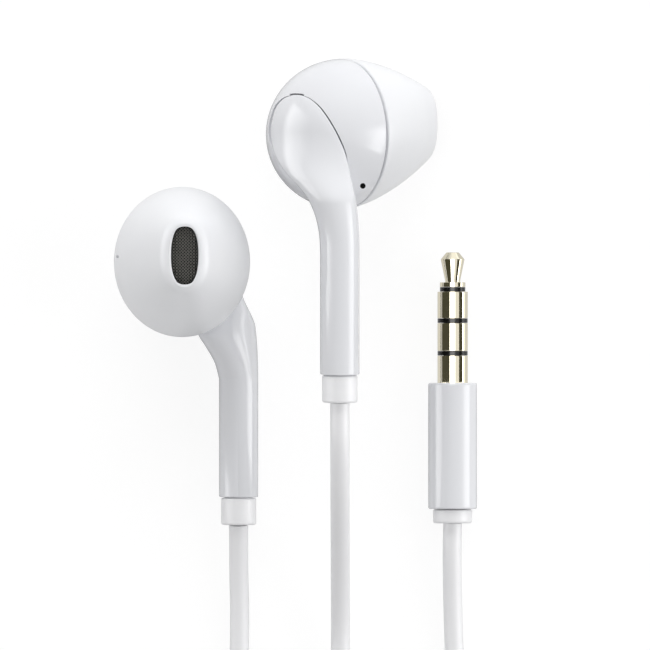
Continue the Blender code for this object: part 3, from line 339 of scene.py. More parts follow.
left_cord, left_length = make_cable("left_cord", [
    left_exit, *route(LEFT_ROUTE),
    *flat_spiral(node_middle("left_coil").z, 180, SPIRAL_END, TAIL_RADIUS),
    *route(LEFT_TAIL_ROUTE)])
right_upper_cord, right_upper_length = make_cable("right_upper_cord", [
    right_exit, *route(RIGHT_UPPER_ROUTE)])
right_lower_cord, right_lower_length = make_cable("right_lower_cord", [
    *route(RIGHT_LOWER_ROUTE),
    *flat_spiral(node_middle("right_coil").z, 140, SPIRAL_END, TAIL_RADIUS),
    *route(RIGHT_TAIL_ROUTE)])
# The winding's first two points would crowd the lead that runs into it
main_cord, main_length = make_cable("main_cord", [
    *route(MAIN_LEAD_ROUTE), *stacked_winding(main_base, 100, 3240, 200)[2:],
    *route(MAIN_ROUTE), plug_exit])

# %% Put each cable on its body in place of its solids, with its slot
REMOTE_NODES = ["remote_rear_cover", "remote_front_cover", "remote_key_up",
                "remote_key_centre", "remote_key_down", "remote_board", "remote_switches",
                "remote_microphone", "remote_relief_upper", "remote_relief_lower"]
PLUG_NODES = ["plug_insulator", "plug_tip", "plug_ring_1", "plug_ring_2", "plug_sleeve",
              "plug_housing", "plug_inner_mould", "plug_collar"]
pieces = []                     # every new piece with its slot, to be given a material
for cable, start, length, far_end, lay, joined, nodes in (
        (left_cord, left_exit, left_length, "fitting", "coiled", ["splitter", "cable_tie"],
         ["left_cable", "left_coil", "left_cable_tail"]),
        (right_upper_cord, right_exit, right_upper_length, "fitting", "loose", REMOTE_NODES,
         ["right_cable_upper"]),
        (right_lower_cord, route(RIGHT_LOWER_ROUTE)[0], right_lower_length, "fitting", "coiled",
         ["splitter"], ["right_cable_lower", "right_coil", "right_cable_tail"]),
        (main_cord, route(MAIN_LEAD_ROUTE)[0], main_length, "plug", "coiled", PLUG_NODES,
         ["main_cable_lead", "main_coil", "main_cable"])):
    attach(cable, "earphones")
    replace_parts(cable, *nodes)
    pieces.append((cable, "soft_white_tpe"))
print("left ear %.0f mm, plug side %.0f mm" % (left_length / MM, main_length / MM))

# %% [markdown]
# ## Tools for shapes
#
# Most of this set is made of rings. A skin stretched over a list of rings (a
# loft) gives every shell, and a profile turned about an axis gives every round
# part. Both could be made with subdivision surfaces, but a loft at a fine step
# holds the exact outline that the seams have to follow.

# %% A skin over rings
SHELL_POINTS = 144
SHARP_ANGLE = math.radians(32)
GUARD_REACH = 1.09              # a guard point's distance over that of the arc's end


def add_object(name, mesh, place=None, body="earphones", slot=None):
    """Put a mesh in the scene, riding on its body."""
    bmesh.ops.recalc_face_normals(mesh, faces=mesh.faces[:])
    data = bpy.data.meshes.new(name)
    mesh.to_mesh(data)
    mesh.free()
    data.shade_smooth()
    data.set_sharp_from_angle(angle=SHARP_ANGLE)
    item = bpy.data.objects.new(name, data)
    bpy.context.scene.collection.objects.link(item)
    if place is not None:
        item.matrix_world = place
    if body:
        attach(item, body)
    if slot:
        pieces.append((item, slot))
    return item


def bridge(mesh, lower, upper):
    """A band of faces between two loops of as many points."""
    for i in range(len(lower)):
        j = (i + 1) % len(lower)
        mesh.faces.new((lower[i], lower[j], upper[j], upper[i]))


def loft(mesh, rings, closed=False):
    """Join rings of points with faces.  An open skin gets both its ends."""
    loops = [[mesh.verts.new(point) for point in ring] for ring in rings]
    for lower, upper in zip(loops, loops[1:]):
        bridge(mesh, lower, upper)
    if closed:
        bridge(mesh, loops[-1], loops[0])
    else:
        mesh.faces.new(list(reversed(loops[0])))
        mesh.faces.new(loops[-1])


print("each shell has", SHELL_POINTS, "points around")

# %% Turned profiles with rounded corners
def turned(mesh, outline, points=96):
    """Turn a profile of (radius, height) points about the local Z axis."""
    turns = [2 * math.pi * i / points for i in range(points)]
    loops = [[mesh.verts.new((radius * math.cos(turn), radius * math.sin(turn), height))
              for turn in (turns if radius else [0])] for radius, height in outline]
    pairs = list(zip(loops, loops[1:]))
    if outline[0][0] and outline[-1][0]:
        pairs.append((loops[-1], loops[0]))
    for lower, upper in pairs:
        for i in range(points):
            j = (i + 1) % points
            ring = [lower[i % len(lower)], lower[j % len(lower)],
                    upper[j % len(upper)], upper[i % len(upper)]]
            corners = list(dict.fromkeys(ring))
            if len(corners) > 2:
                mesh.faces.new(corners)


def rounded(outline, radius, steps=4):
    """The profile with each inner corner cut to a small arc.

    A point just past each end of an arc keeps the smooth shading of the arc
    from spreading along the straight part beside it.
    """
    result = [outline[0]]
    for before, corner, after in zip(outline, outline[1:], outline[2:]):
        corner = Vector(corner)
        back, ahead = Vector(before) - corner, Vector(after) - corner
        reach = min(radius, back.length * 0.45, ahead.length * 0.45)
        back, ahead = back.normalized() * reach, ahead.normalized() * reach
        first, last = corner + back, corner + ahead
        arc = [first * (1 - t) ** 2 + corner * 2 * t * (1 - t) + last * t ** 2
               for t in [i / steps for i in range(steps + 1)]]
        result += [(point.x, point.y) for point in (
            corner + back * GUARD_REACH, *arc, corner + ahead * GUARD_REACH)]
    return result + [outline[-1]]


print("a corner becomes", len(rounded([(0, 0), (1, 0), (1, 1)], 0.1)) - 2, "points")

# %% Cut one shape out of another
def cut_away(item, cutter):
    """Take the cutter's shape out of the piece and put the cutter away."""
    step = item.modifiers.new("cut", "BOOLEAN")
    step.operation = "DIFFERENCE"
    step.solver = "EXACT"
    step.object = cutter
    bpy.context.view_layer.update()
    found = item.evaluated_get(bpy.context.evaluated_depsgraph_get())
    data = bpy.data.meshes.new_from_object(found)
    item.modifiers.clear()
    item.data = data
    data.set_sharp_from_angle(angle=SHARP_ANGLE)
    bpy.data.objects.remove(cutter)


print("edges over %.0f degrees stay sharp" % math.degrees(SHARP_ANGLE))

# %% [markdown]
# ## The earbud's shells
#
# A real shell is two mouldings of ABS that meet at a seam round the widest part
# of the head. The front one narrows to an oval nozzle with a rounded lip, and
# the back one is part of an ellipsoid. One could sculpt them, but both follow
# plain formulas, so a ring is worked out for each depth and the rings are
# skinned. Each edge at the seam is rounded by a fifth of a millimetre, which
# draws the fine bright line beside the dark gap.

# %% Points on the head
def head_point(depth, across, up, side):
    """A point from its depth along the nozzle, sideways and up."""
    point = depth * NOZZLE_AXIS + across * SIDE_AXIS + up * UP_AXIS
    point.x *= side
    return point


def oval(half_width, half_height, squareness, count=SHELL_POINTS):
    """Points of an ellipse or a squarer oval, once around."""
    points = []
    for i in range(count):
        turn = 2 * math.pi * i / count
        across = math.copysign(abs(math.cos(turn)) ** (2 / squareness), math.cos(turn))
        up = math.copysign(abs(math.sin(turn)) ** (2 / squareness), math.sin(turn))
        points.append((half_width * across, half_height * up))
    return points


def dome_height(x, y):
    """Height of the dome's outside over (x, y) on the right bud."""
    sine, cosine = math.sin(NOZZLE_ANGLE), math.cos(NOZZLE_ANGLE)
    wide, deep = RIM_HALF_WIDTH ** 2, DOME_DEPTH ** 2
    square = sine * sine / wide + cosine * cosine / deep
    slope = 2 * x * sine * cosine * (1 / deep - 1 / wide)
    rest = (x * cosine) ** 2 / wide + (x * sine) ** 2 / deep
    rest += (y / RIM_HALF_HEIGHT) ** 2 - 1
    root = math.sqrt(max(slope * slope - 4 * square * rest, 0.0))
    return (root - slope) / (2 * square)


print("the dome stands %.1f mm high over the head's middle" % (dome_height(0, 0) / MM))

# %% Outlines of the two shells
def front_ring(depth, inset, side):
    """One outline of the front shell, this far ahead of the seam."""
    share = min(max(depth / NOZZLE_REACH, 0.0), 1.0)
    taper = 1 - share ** FRONT_TAPER
    wide = NOZZLE_HALF_WIDTH + (RIM_HALF_WIDTH - NOZZLE_HALF_WIDTH) * taper - inset
    high = NOZZLE_HALF_HEIGHT + (RIM_HALF_HEIGHT - NOZZLE_HALF_HEIGHT) * taper - inset
    square = 2 + (NOZZLE_SQUARENESS - 2) * (1 - taper)
    return [head_point(depth, across, up + NOZZLE_RISE * share, side)
            for across, up in oval(wide, high, square)]


def nozzle_ring(depth, half_width, half_height, side):
    return [head_point(depth, across, up + NOZZLE_RISE, side)
            for across, up in oval(half_width, half_height, NOZZLE_SQUARENESS)]


def dome_ring(latitude, inset, side):
    """One outline of the back shell, from the seam at 0 to its top at 90."""
    wide = (RIM_HALF_WIDTH - inset) * math.cos(latitude)
    high = (RIM_HALF_HEIGHT - inset) * math.cos(latitude)
    depth = -(DOME_DEPTH - inset) * math.sin(latitude) - SEAM_GAP / 2
    return [head_point(depth, across, up, side) for across, up in oval(wide, high, 2)]


def seam_ring(depth, inset, side):
    return [head_point(depth, across, up, side)
            for across, up in oval(RIM_HALF_WIDTH - inset, RIM_HALF_HEIGHT - inset, 2)]


print("the seam's outline has", len(seam_ring(0, 0, 1)), "points")

# %% Front shells with their nozzles
SEAM_EDGE = 0.2 * MM            # rounding of both shells at the seam
LIP_RADIUS = 0.22 * MM          # rounding of the sound port's inner edge
MESH_THICKNESS = 0.25 * MM
PORT_LEDGE = 0.4 * MM           # carries the mesh from behind
FRONT_STEPS = 40
FRONT_VENT = (1.9 * MM, 0.6 * MM)           # ahead of the seam, and up
FRONT_VENT_HALF = (0.55 * MM, 0.24 * MM)
FRONT_VENT_ENDS = (1.0 * MM, -1.4 * MM)     # past the shell's outside, and within it


def quarter(steps):
    return [math.radians(90 * i / steps) for i in range(steps + 1)]


def front_shell_rings(side):
    edge = NOZZLE_EDGE_RADIUS
    first, straight = SEAM_GAP / 2 + SEAM_EDGE, NOZZLE_REACH - edge
    rings = [front_ring(first - SEAM_EDGE * math.cos(turn),
                        SEAM_EDGE * (1 - math.sin(turn)), side) for turn in quarter(3)]
    rings += [front_ring(first + (straight - first) * i / FRONT_STEPS, 0.0, side)
              for i in range(1, FRONT_STEPS + 1)]
    rings += [front_ring(straight + edge * math.sin(turn), edge * (1 - math.cos(turn)), side)
              for turn in quarter(8)[1:]]
    floor = NOZZLE_REACH - MESH_RECESS - MESH_THICKNESS
    port = [(NOZZLE_REACH - LIP_RADIUS * (1 - math.cos(turn)), LIP_RADIUS * (1 - math.sin(turn)))
            for turn in quarter(4)] + [(floor, 0), (floor, -PORT_LEDGE)]
    rings += [nozzle_ring(depth, OPENING_HALF_WIDTH + grow, OPENING_HALF_HEIGHT + grow, side)
              for depth, grow in port]
    rings += [front_ring(NOZZLE_REACH * share, SHELL_WALL + PORT_LEDGE, side)
              for share in (0.74, 0.5, 0.25)]
    rings.append(front_ring(SEAM_GAP / 2, SHELL_WALL, side))
    return rings


for bud, (side, place) in BUD_PLACES.items():
    mesh = bmesh.new()
    loft(mesh, front_shell_rings(side), closed=True)
    shell = add_object(bud + "_front_shell_satin", mesh, place, slot="matt_white_abs")
    vent = bmesh.new()
    loft(vent, [[head_point(FRONT_VENT[0] + FRONT_VENT_HALF[0] * math.cos(turn), -across,
                            FRONT_VENT[1] + FRONT_VENT_HALF[1] * math.sin(turn), side)
                 for turn in (2 * math.pi * i / 24 for i in range(24))]
                for across in (RIM_HALF_WIDTH + end for end in FRONT_VENT_ENDS)])
    cut_away(shell, add_object("vent_cutter", vent, place, body=None))
    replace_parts(shell, bud + "_front_shell")
    print(shell.name, len(shell.data.polygons), "faces")

# %% [markdown]
# ## Stem, neck and teardrop cap
#
# The stem is a plain tube at the bottom. Near the head it widens into a neck
# that flows onto the dome and ends there as a flush teardrop cap, moulded in one
# with the stem. Modelled by hand it would take many edge loops. Here each level
# section is a blend between a tube and a strip that follows the dome, so the
# cap lies exactly a quarter of a millimetre proud of the shell all around.

# %% One level section of the stem
STEM_POINTS = 128
SECTION_STEPS = 10
STEM_END_EDGE = 0.12 * MM


def dome_outward(x, y):
    """The dome's outward direction in a level section, over (x, y)."""
    z = dome_height(x, y)
    depth = x * NOZZLE_AXIS.x + z * NOZZLE_AXIS.z
    across = x * SIDE_AXIS.x + z * SIDE_AXIS.z
    way = depth / DOME_DEPTH ** 2 * NOZZLE_AXIS + across / RIM_HALF_WIDTH ** 2 * SIDE_AXIS
    return z, way.normalized()


def stem_ring(height, middle, half_width, thickness, side, grow):
    tube = ease((BLEND_TOP - height) / BLEND_LENGTH)
    half_width += grow
    points = []
    for i in range(STEM_POINTS):
        turn = 2 * math.pi * i / STEM_POINTS
        x = middle + half_width * math.cos(turn)
        bulge = math.sin(turn)
        z, outward = dome_outward(x, height)
        if bulge >= 0:
            rise = (CAP_PROUD + grow) * math.sqrt(bulge)
            on_tube = STEM_OFFSET_Z + (STEM_RADIUS + grow) * bulge
        else:
            rise = -(thickness - CAP_PROUD + grow) * math.sqrt(-bulge)
            on_tube = STEM_OFFSET_Z + (thickness - STEM_RADIUS + grow) * bulge
        on_dome = Vector((x, height, z)) + rise * outward
        point = on_dome.lerp(Vector((x, height, on_tube)), tube)
        points.append(Vector((point.x * side, height, point.z)))
    return points


print("each level section has", STEM_POINTS, "points")

# %% All outlines of the stem, from the cap down
def smooth_sections():
    """The cap's sections with a smooth curve through them, in metres."""
    foot = (STEM_STRAIGHT_FROM / MM, STEM_OFFSET_X / MM, STEM_RADIUS / MM, 2 * STEM_RADIUS / MM)
    rows = np.array([CAP_TIP, *CAP_SECTIONS, foot])
    above = rows[1] * [1, 1, -1, 1]
    below = 2 * rows[-1] - rows[-2]
    fine = smooth_run(np.vstack([above, rows, below]), SECTION_STEPS)
    return [[float(value) * MM for value in row] for row in fine[1:]]


def stem_rings(side, grow):
    rings = []
    for i, (height, middle, half_width, thickness) in enumerate(smooth_sections()):
        lift = grow if i < SECTION_STEPS else 0.0
        rings.append(stem_ring(height + lift, middle, half_width, thickness, side, grow))
    for inset, up in ((0, 1), (0.3, 0.3), (1, 0)):
        radius = STEM_RADIUS - inset * STEM_END_EDGE
        rings.append(stem_ring(STEM_END + up * STEM_END_EDGE, STEM_OFFSET_X, radius,
                               2 * radius, side, grow))
    return rings


print("the stem has", len(stem_rings(1, 0.0)), "outlines")

# %% Stems, and back shells with a seat cut for the cap
CAP_SEAM = 0.17 * MM            # the gap around the cap
VENT_PLACE = (2.13 * MM, -5.75 * MM)
VENT_RADIUS = 0.32 * MM
VENT_HEIGHTS = (-1.3 * MM, 2.5 * MM)        # of the hole's ends, over the dome
CLOTH_HEIGHTS = (-0.95 * MM, -0.75 * MM)
DOME_TOP, DOME_FOOT = 88.5, 1.5             # latitudes in degrees
DOME_STEPS = 60
# The vent is drilled towards the camera, so that it shows as a round hole
TO_CAMERA = BUD_PLACES["right"][1].to_3x3().inverted() @ Vector((0, 0, 1))


def vent_rod(low, high, points, side):
    """A rod through the vent, from one height over the dome to another."""
    x, y = VENT_PLACE
    rod = bmesh.new()
    turned(rod, [(0, low), (VENT_RADIUS, low), (VENT_RADIUS, high), (0, high)], points=points)
    rod.transform(Matrix.Translation((x, y, dome_height(x, y)))
                  @ TO_CAMERA.to_track_quat("Z", "Y").to_matrix().to_4x4())
    rod.transform(Matrix.Diagonal((side, 1, 1, 1)))
    return rod


for bud, (side, place) in BUD_PLACES.items():
    mesh = bmesh.new()
    loft(mesh, stem_rings(side, 0.0))
    stem = add_object(bud + "_stem_gloss", mesh, place, slot="gloss_white_abs")
    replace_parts(stem, bud + "_stem")

    mesh = bmesh.new()
    rings = [dome_ring(math.radians(DOME_TOP - (DOME_TOP - DOME_FOOT) * i / DOME_STEPS),
                       0.0, side) for i in range(DOME_STEPS + 1)]
    rings += [seam_ring(-SEAM_GAP / 2 - SEAM_EDGE * (1 - math.cos(turn)),
                        SEAM_EDGE * (1 - math.sin(turn)), side) for turn in quarter(3)[::-1]]
    rings += [dome_ring(math.radians(angle), SHELL_WALL, side) for angle in range(0, 85, 6)]
    loft(mesh, rings)
    shell = add_object(bud + "_back_shell_gloss", mesh, place, slot="gloss_white_abs")
    seat = bmesh.new()
    loft(seat, stem_rings(side, CAP_SEAM))
    cut_away(shell, add_object("seat_cutter", seat, place, body=None))
    cut_away(shell, add_object("vent_cutter", vent_rod(*VENT_HEIGHTS, 32, side), place,
                               body=None))
    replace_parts(shell, bud + "_back_shell")
    add_object(bud + "_vent_cloth", vent_rod(*CLOTH_HEIGHTS, 24, side), place,
               slot="dark_mesh")
    print(shell.name, len(shell.data.polygons), "faces;", stem.name,
          len(stem.data.polygons), "faces")

# %% [markdown]
# ## Strain reliefs
#
# Below each stem a short collar of soft TPE is pressed into the tube and grips
# the cable, so that the cable bends there and not at a sharp edge. It is a
# turned profile with rounded edges and a fine step where it meets the stem.

# %% Strain reliefs at the stems
RELIEF_GAP = 0.1 * MM
SPIGOT_RADIUS = RELIEF_RADIUS - 0.5 * MM    # the part inside the stem
SPIGOT_LENGTH = 1.0 * MM
ALONG_Y = Matrix.Rotation(-math.pi / 2, 4, "X")
for bud, (side, place) in BUD_PLACES.items():
    top = RELIEF_LENGTH - RELIEF_GAP
    outline = [(0, 0), (RELIEF_RADIUS, 0), (RELIEF_RADIUS, top), (SPIGOT_RADIUS, top),
               (SPIGOT_RADIUS, top + SPIGOT_LENGTH), (0, top + SPIGOT_LENGTH)]
    mesh = bmesh.new()
    turned(mesh, rounded(outline, 0.28 * MM))
    foot = Matrix.Translation((STEM_OFFSET_X * side, STEM_END - RELIEF_LENGTH, STEM_OFFSET_Z))
    relief = add_object(bud + "_relief_tpe", mesh, place @ foot @ ALONG_Y,
                        slot="soft_white_tpe")
    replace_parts(relief, bud + "_strain_relief")
    print(relief.name, "at", tuple(round(v / MM, 1) for v in relief.matrix_world.translation))

# %% [markdown]
# ## The tie
#
# A nylon strap holds the wound turns together. It lies flat on them and turns
# over their outer edges, so its section is a rounded rectangle and the ring is
# that section's outline, drawn once inside and once outside.

# %% A strap around the turns
TIE_THICKNESS = 0.4 * MM
TIE_WIDTH = 3.0 * MM
TIE_BEND = 1.1 * MM             # the inner radius at its four corners
BEND_STEPS = 8
# (share of the thickness, share of the half width) once around the strap
TIE_SECTION = [(0, -0.94), (0.15, -1), (0.85, -1), (1, -0.94),
               (1, 0.94), (0.85, 1), (0.15, 1), (0, 0.94)]
tie_low, tie_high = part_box("cable_tie")


def strap_ring(grow, across):
    """The strap's outline at one place across, grown outward."""
    bend = TIE_BEND + grow
    trim = TIE_THICKNESS - grow + bend
    near, far = tie_low.y + trim, tie_high.y - trim
    low, high = tie_low.z + trim, tie_high.z - trim
    ring = []
    for corner, (y, z) in enumerate(((far, high), (near, high), (near, low), (far, low))):
        for i in range(BEND_STEPS + 1):
            turn = math.radians(90 * corner + 90 * i / BEND_STEPS)
            ring.append(Vector((COIL_MIDDLE.x + across * TIE_WIDTH / 2,
                                y + bend * math.cos(turn), z + bend * math.sin(turn))))
    return ring


mesh = bmesh.new()
loft(mesh, [strap_ring(share * TIE_THICKNESS, across) for share, across in TIE_SECTION],
     closed=True)
tie = add_object("cable_tie_nylon", mesh, slot="black_plastic")
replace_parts(tie, "cable_tie")
print("tie", round((tie_high.z - tie_low.z) / MM, 1), "mm high")

# %% [markdown]
# ## The woven mesh over the sound port
#
# The port is closed by a cloth of fine dark wires that keeps dust out. A bump
# texture would do from afar, but the port looks into the camera, so real wires
# are woven: each follows a sine that goes over one crossing wire and under the
# next. The pitch is a quarter of a millimetre, and the weave is turned 45
# degrees. Black felt lies behind it. A dark lining on the port's wall is painted
# shade: it stands for the shadow inside the port.

# %% Weave the wires
WIRE_PITCH = 0.25 * MM
WIRE_RADIUS = 0.052 * MM
WIRE_SIDES = 6
STEPS_PER_CROSSING = 4
WEAVE_REACH = int(6 * MM / WIRE_PITCH)      # wires and crossings from the middle out
WIRE_MARGIN = 0.03 * MM         # between the wires' ends and the port's wall
MESH_DEPTH = NOZZLE_REACH - MESH_RECESS
WIRE_DEPTH = MESH_DEPTH - 0.05 * MM
FELT_BACK, FELT_FRONT = 0.2 * MM, 0.14 * MM     # behind the mesh
# The lining is painted shade: a dark layer on the port's wall for the shadow there
FELT_GAP, SHADE_LINING_GAP = 0.02 * MM, 0.01 * MM      # to the port's wall
SHADE_LINING_WALL = 0.13 * MM


def inside_port(across, up):
    wide, high = OPENING_HALF_WIDTH - WIRE_MARGIN, OPENING_HALF_HEIGHT - WIRE_MARGIN
    return abs(across / wide) ** NOZZLE_SQUARENESS + abs(up / high) ** NOZZLE_SQUARENESS < 1


def add_wire(mesh, centres, normal):
    """A thin open tube along the centres."""
    loops = []
    for i, centre in enumerate(centres):
        ahead = (centres[min(i + 1, len(centres) - 1)] - centres[max(i - 1, 0)]).normalized()
        across = ahead.cross(normal).normalized()
        lift = across.cross(ahead)
        turns = [2 * math.pi * k / WIRE_SIDES for k in range(WIRE_SIDES)]
        loops.append([mesh.verts.new(centre + WIRE_RADIUS * (
            across * math.cos(turn) + lift * math.sin(turn))) for turn in turns])
    for lower, upper in zip(loops, loops[1:]):
        bridge(mesh, lower, upper)


def weave(mesh, side):
    normal = Vector((side * NOZZLE_AXIS.x, 0, NOZZLE_AXIS.z))
    last = WEAVE_REACH * STEPS_PER_CROSSING
    for direction in (1, -1):
        for wire in range(-WEAVE_REACH, WEAVE_REACH + 1):
            offset, run = (wire + 0.5) * WIRE_PITCH, []
            for spot in range(-last, last + 1):
                along = spot * WIRE_PITCH / STEPS_PER_CROSSING
                across = (along + offset * direction) * math.sqrt(0.5)
                up = (along * direction - offset) * math.sqrt(0.5)
                if inside_port(across, up):
                    phase = math.pi * (along / WIRE_PITCH + wire)
                    wave = WIRE_RADIUS * direction * math.cos(phase)
                    run.append(head_point(WIRE_DEPTH + wave, across, up + NOZZLE_RISE, side))
                    continue
                if len(run) > 2:
                    add_wire(mesh, run, normal)
                run = []


print(2 * WEAVE_REACH + 1, "wires each way, cut at the port")

# %% Wires, felt and a painted shade lining in both ports
def port_rings(rows, side):
    """Rings along the port's wall, from (depth, inset) rows."""
    return [nozzle_ring(depth, OPENING_HALF_WIDTH - inset, OPENING_HALF_HEIGHT - inset, side)
            for depth, inset in rows]


for bud, (side, place) in BUD_PLACES.items():
    mesh = bmesh.new()
    weave(mesh, side)
    wires = add_object(bud + "_port_wires", mesh, place, slot="dark_mesh")
    mesh = bmesh.new()
    loft(mesh, port_rings([(MESH_DEPTH - FELT_BACK, FELT_GAP),
                           (MESH_DEPTH - FELT_FRONT, FELT_GAP)], side))
    # Painted shade: a dark lining up the port's wall stands for the shadow inside
    foot, top = MESH_DEPTH - FELT_FRONT, NOZZLE_REACH - LIP_RADIUS - 0.02 * MM
    loft(mesh, port_rings([(foot, SHADE_LINING_GAP), (top, SHADE_LINING_GAP),
                           (top, SHADE_LINING_WALL), (foot, SHADE_LINING_WALL)], side), closed=True)
    add_object(bud + "_port_felt", mesh, place, slot="dark_mesh")
    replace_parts(wires, bud + "_nozzle_mesh")
    print(wires.name, len(wires.data.polygons), "faces")

# %% [markdown]
# ## The plug
#
# A 3.5 mm plug with four poles: tip, two rings and a sleeve of gold-plated
# brass, kept apart by black rings of hard plastic. All of it is turned on a
# lathe in reality, so each part is a turned profile here. The edges of the
# contacts are rounded by a few hundredths of a millimetre, which is what draws
# the thin bright line at each black ring.

# %% Sizes of the plug, its heights counted from the housing's shoulder
PLUG_RADIUS = 1.75 * MM
PLUG_LENGTH = 15.0 * MM
SLEEVE_START = -0.4 * MM
SLEEVE_END = 3.15 * MM
RING_2_END = 6.9 * MM
RING_1_END = 10.5 * MM
INSULATOR_WIDTH = 0.5 * MM
INSULATOR_START = 0.2 * MM
TIP_BASE_RADIUS = 1.475 * MM
TIP_BASE_LENGTH = 0.56 * MM
TIP_WAIST_RADIUS = 0.87 * MM
TIP_WAIST_LENGTH = 0.2 * MM
TIP_WIDE_RADIUS = 1.375 * MM
TIP_WIDE_HEIGHT = PLUG_LENGTH - 0.8 * MM
TIP_END_RADIUS = 0.72 * MM
CONTACT_BORE = 1.05 * MM
HOUSING_RADIUS = 2.8 * MM
HOUSING_LENGTH = 14.5 * MM
HOUSING_WALL = 0.6 * MM
COLLAR_RADIUS = 2.25 * MM
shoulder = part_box("plug_housing")[1]
plug_middle = node_middle("plug_housing")
PLUG_PLACE = Matrix.Translation((plug_middle.x, shoulder.y, plug_middle.z)) @ ALONG_Y


def plug_part(name, outline, node, slot, edge, points=128):
    """One turned part of the plug, in the place of its solid."""
    mesh = bmesh.new()
    turned(mesh, rounded(outline, edge), points=points)
    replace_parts(add_object(name, mesh, PLUG_PLACE, slot=slot), node)
    heights = [height / MM for radius, height in outline]
    print("%s: %.2f to %.2f mm" % (name, min(heights), max(heights)))


print("the housing's shoulder is at", tuple(round(v / MM, 2) for v in shoulder), "mm")

# %% Turn the contacts and the black rings
METAL_GAP = 0.02 * MM
CONTACT_EDGE = 0.07 * MM
RING_SHY = 0.01 * MM            # the black rings lie this much below the gold


def contact(low, high, seam):
    """A ring of metal whose outline starts and ends inside its bore."""
    return [(CONTACT_BORE, low), (PLUG_RADIUS, low), (PLUG_RADIUS, high), (CONTACT_BORE, high),
            (CONTACT_BORE, seam)]


foot = RING_1_END + INSULATOR_WIDTH + METAL_GAP
waist = RING_1_END + INSULATOR_WIDTH + TIP_BASE_LENGTH
plug_part("plug_tip_gold", [
    (0, foot), (TIP_BASE_RADIUS, foot), (TIP_BASE_RADIUS, waist), (TIP_WAIST_RADIUS, waist),
    (TIP_WAIST_RADIUS, waist + TIP_WAIST_LENGTH), (TIP_WIDE_RADIUS, TIP_WIDE_HEIGHT),
    (TIP_END_RADIUS, PLUG_LENGTH), (0, PLUG_LENGTH)], "plug_tip", "pale_gold", 0.05 * MM)
for name, low, high in (("plug_ring_1", RING_2_END, RING_1_END),
                        ("plug_ring_2", SLEEVE_END, RING_2_END)):
    low += INSULATOR_WIDTH
    plug_part(name + "_gold", contact(low + METAL_GAP, high - METAL_GAP, (low + high) / 2),
              name, "pale_gold", CONTACT_EDGE)
plug_part("plug_sleeve_gold", contact(SLEEVE_START, SLEEVE_END - METAL_GAP, 0), "plug_sleeve",
          "pale_gold", CONTACT_EDGE)
core = CONTACT_BORE - METAL_GAP
insulator = [(0, INSULATOR_START), (core, INSULATOR_START)]
for low, radius in ((SLEEVE_END, PLUG_RADIUS), (RING_2_END, PLUG_RADIUS),
                    (RING_1_END, TIP_BASE_RADIUS)):
    radius, high = radius - RING_SHY, low + INSULATOR_WIDTH
    insulator += [(core, low), (radius, low), (radius, high), (core, high)]
insulator.append((0, RING_1_END + INSULATOR_WIDTH))
plug_part("plug_insulator_black", insulator, "plug_insulator", "black_plastic", 0.04 * MM)

# %% Turn the housing and the soft collar below it
mouth = PLUG_RADIUS + 0.06 * MM
cavity = HOUSING_RADIUS - HOUSING_WALL
plug_part("plug_housing_gloss", [
    (cavity, -HOUSING_LENGTH / 2), (cavity, -HOUSING_WALL), (mouth, -HOUSING_WALL), (mouth, 0),
    (HOUSING_RADIUS, 0), (HOUSING_RADIUS, -HOUSING_LENGTH), (cavity, -HOUSING_LENGTH)],
    "plug_housing", "gloss_white_abs", 0.22 * MM, points=160)
low, high = collar_low.y - shoulder.y, -HOUSING_LENGTH - 0.05 * MM
plug_part("plug_collar_tpe", [(0, low), (COLLAR_RADIUS, low), (COLLAR_RADIUS, high), (0, high)],
          "plug_collar", "soft_white_tpe", 0.3 * MM)

# %% [markdown]
# ## Materials
#
# A colour is written as it is seen, as an sRGB hex value, and one function turns
# it to the linear value that the shader wants. Each material is a Principled
# shader with a few nodes in front of it: a little colour variation, a little
# change in roughness, and a bump at the scale of the real surface. All patterns
# use object coordinates, which are metres here, so a size in millimetres gives
# the scale.

# %% Colours and nodes
# A Mix node has one A and B for each kind of value: these are its colours
MIX_A, MIX_B, MIX_COLOUR = 6, 7, 2


def linear(hex_code):
    """An sRGB hex value as linear red, green, blue and alpha."""
    channels = [int(hex_code[i:i + 2], 16) / 255 for i in (1, 3, 5)]
    return (*[c / 12.92 if c <= 0.04045 else ((c + 0.055) / 1.055) ** 2.4 for c in channels], 1)


def add(tree, kind, inputs=None, **settings):
    """Add one node.  Each input is a value, or a socket to link from."""
    node = tree.nodes.new(kind)
    for key, value in settings.items():
        setattr(node, key, value)
    for key, value in (inputs or {}).items():
        if isinstance(value, bpy.types.NodeSocket):
            tree.links.new(value, node.inputs[key])
        else:
            node.inputs[key].default_value = value
    return node


def new_material(name):
    """An empty material: returns it with its node tree and coordinates."""
    material = bpy.data.materials.new(name)
    material.use_nodes = True
    tree = material.node_tree
    tree.nodes.clear()
    return material, tree, add(tree, "ShaderNodeTexCoord").outputs["Object"]


def per_mm(size):
    """The noise scale whose grains are this many millimetres apart."""
    return 1 / (size * MM)


def last_nodes(tree, cloud, light, shade, roughness, relief, height_mm, **values):
    """What each material ends with: colours mixed by the cloud, and a bump."""
    tint = add(tree, "ShaderNodeMix", {0: cloud.outputs["Fac"], MIX_A: linear(light),
                                       MIX_B: linear(shade)}, data_type="RGBA")
    bump = add(tree, "ShaderNodeBump", {"Height": relief.outputs["Fac"], "Strength": 1.0,
                                        "Distance": height_mm * MM})
    shader = add(tree, "ShaderNodeBsdfPrincipled", {
        "Base Color": tint.outputs[MIX_COLOUR], "Roughness": roughness.outputs["Result"],
        "Normal": bump.outputs["Normal"], **values})
    add(tree, "ShaderNodeOutputMaterial", {"Surface": shader.outputs["BSDF"]})


print("half grey is", round(linear("#808080")[0], 3), "in linear light")

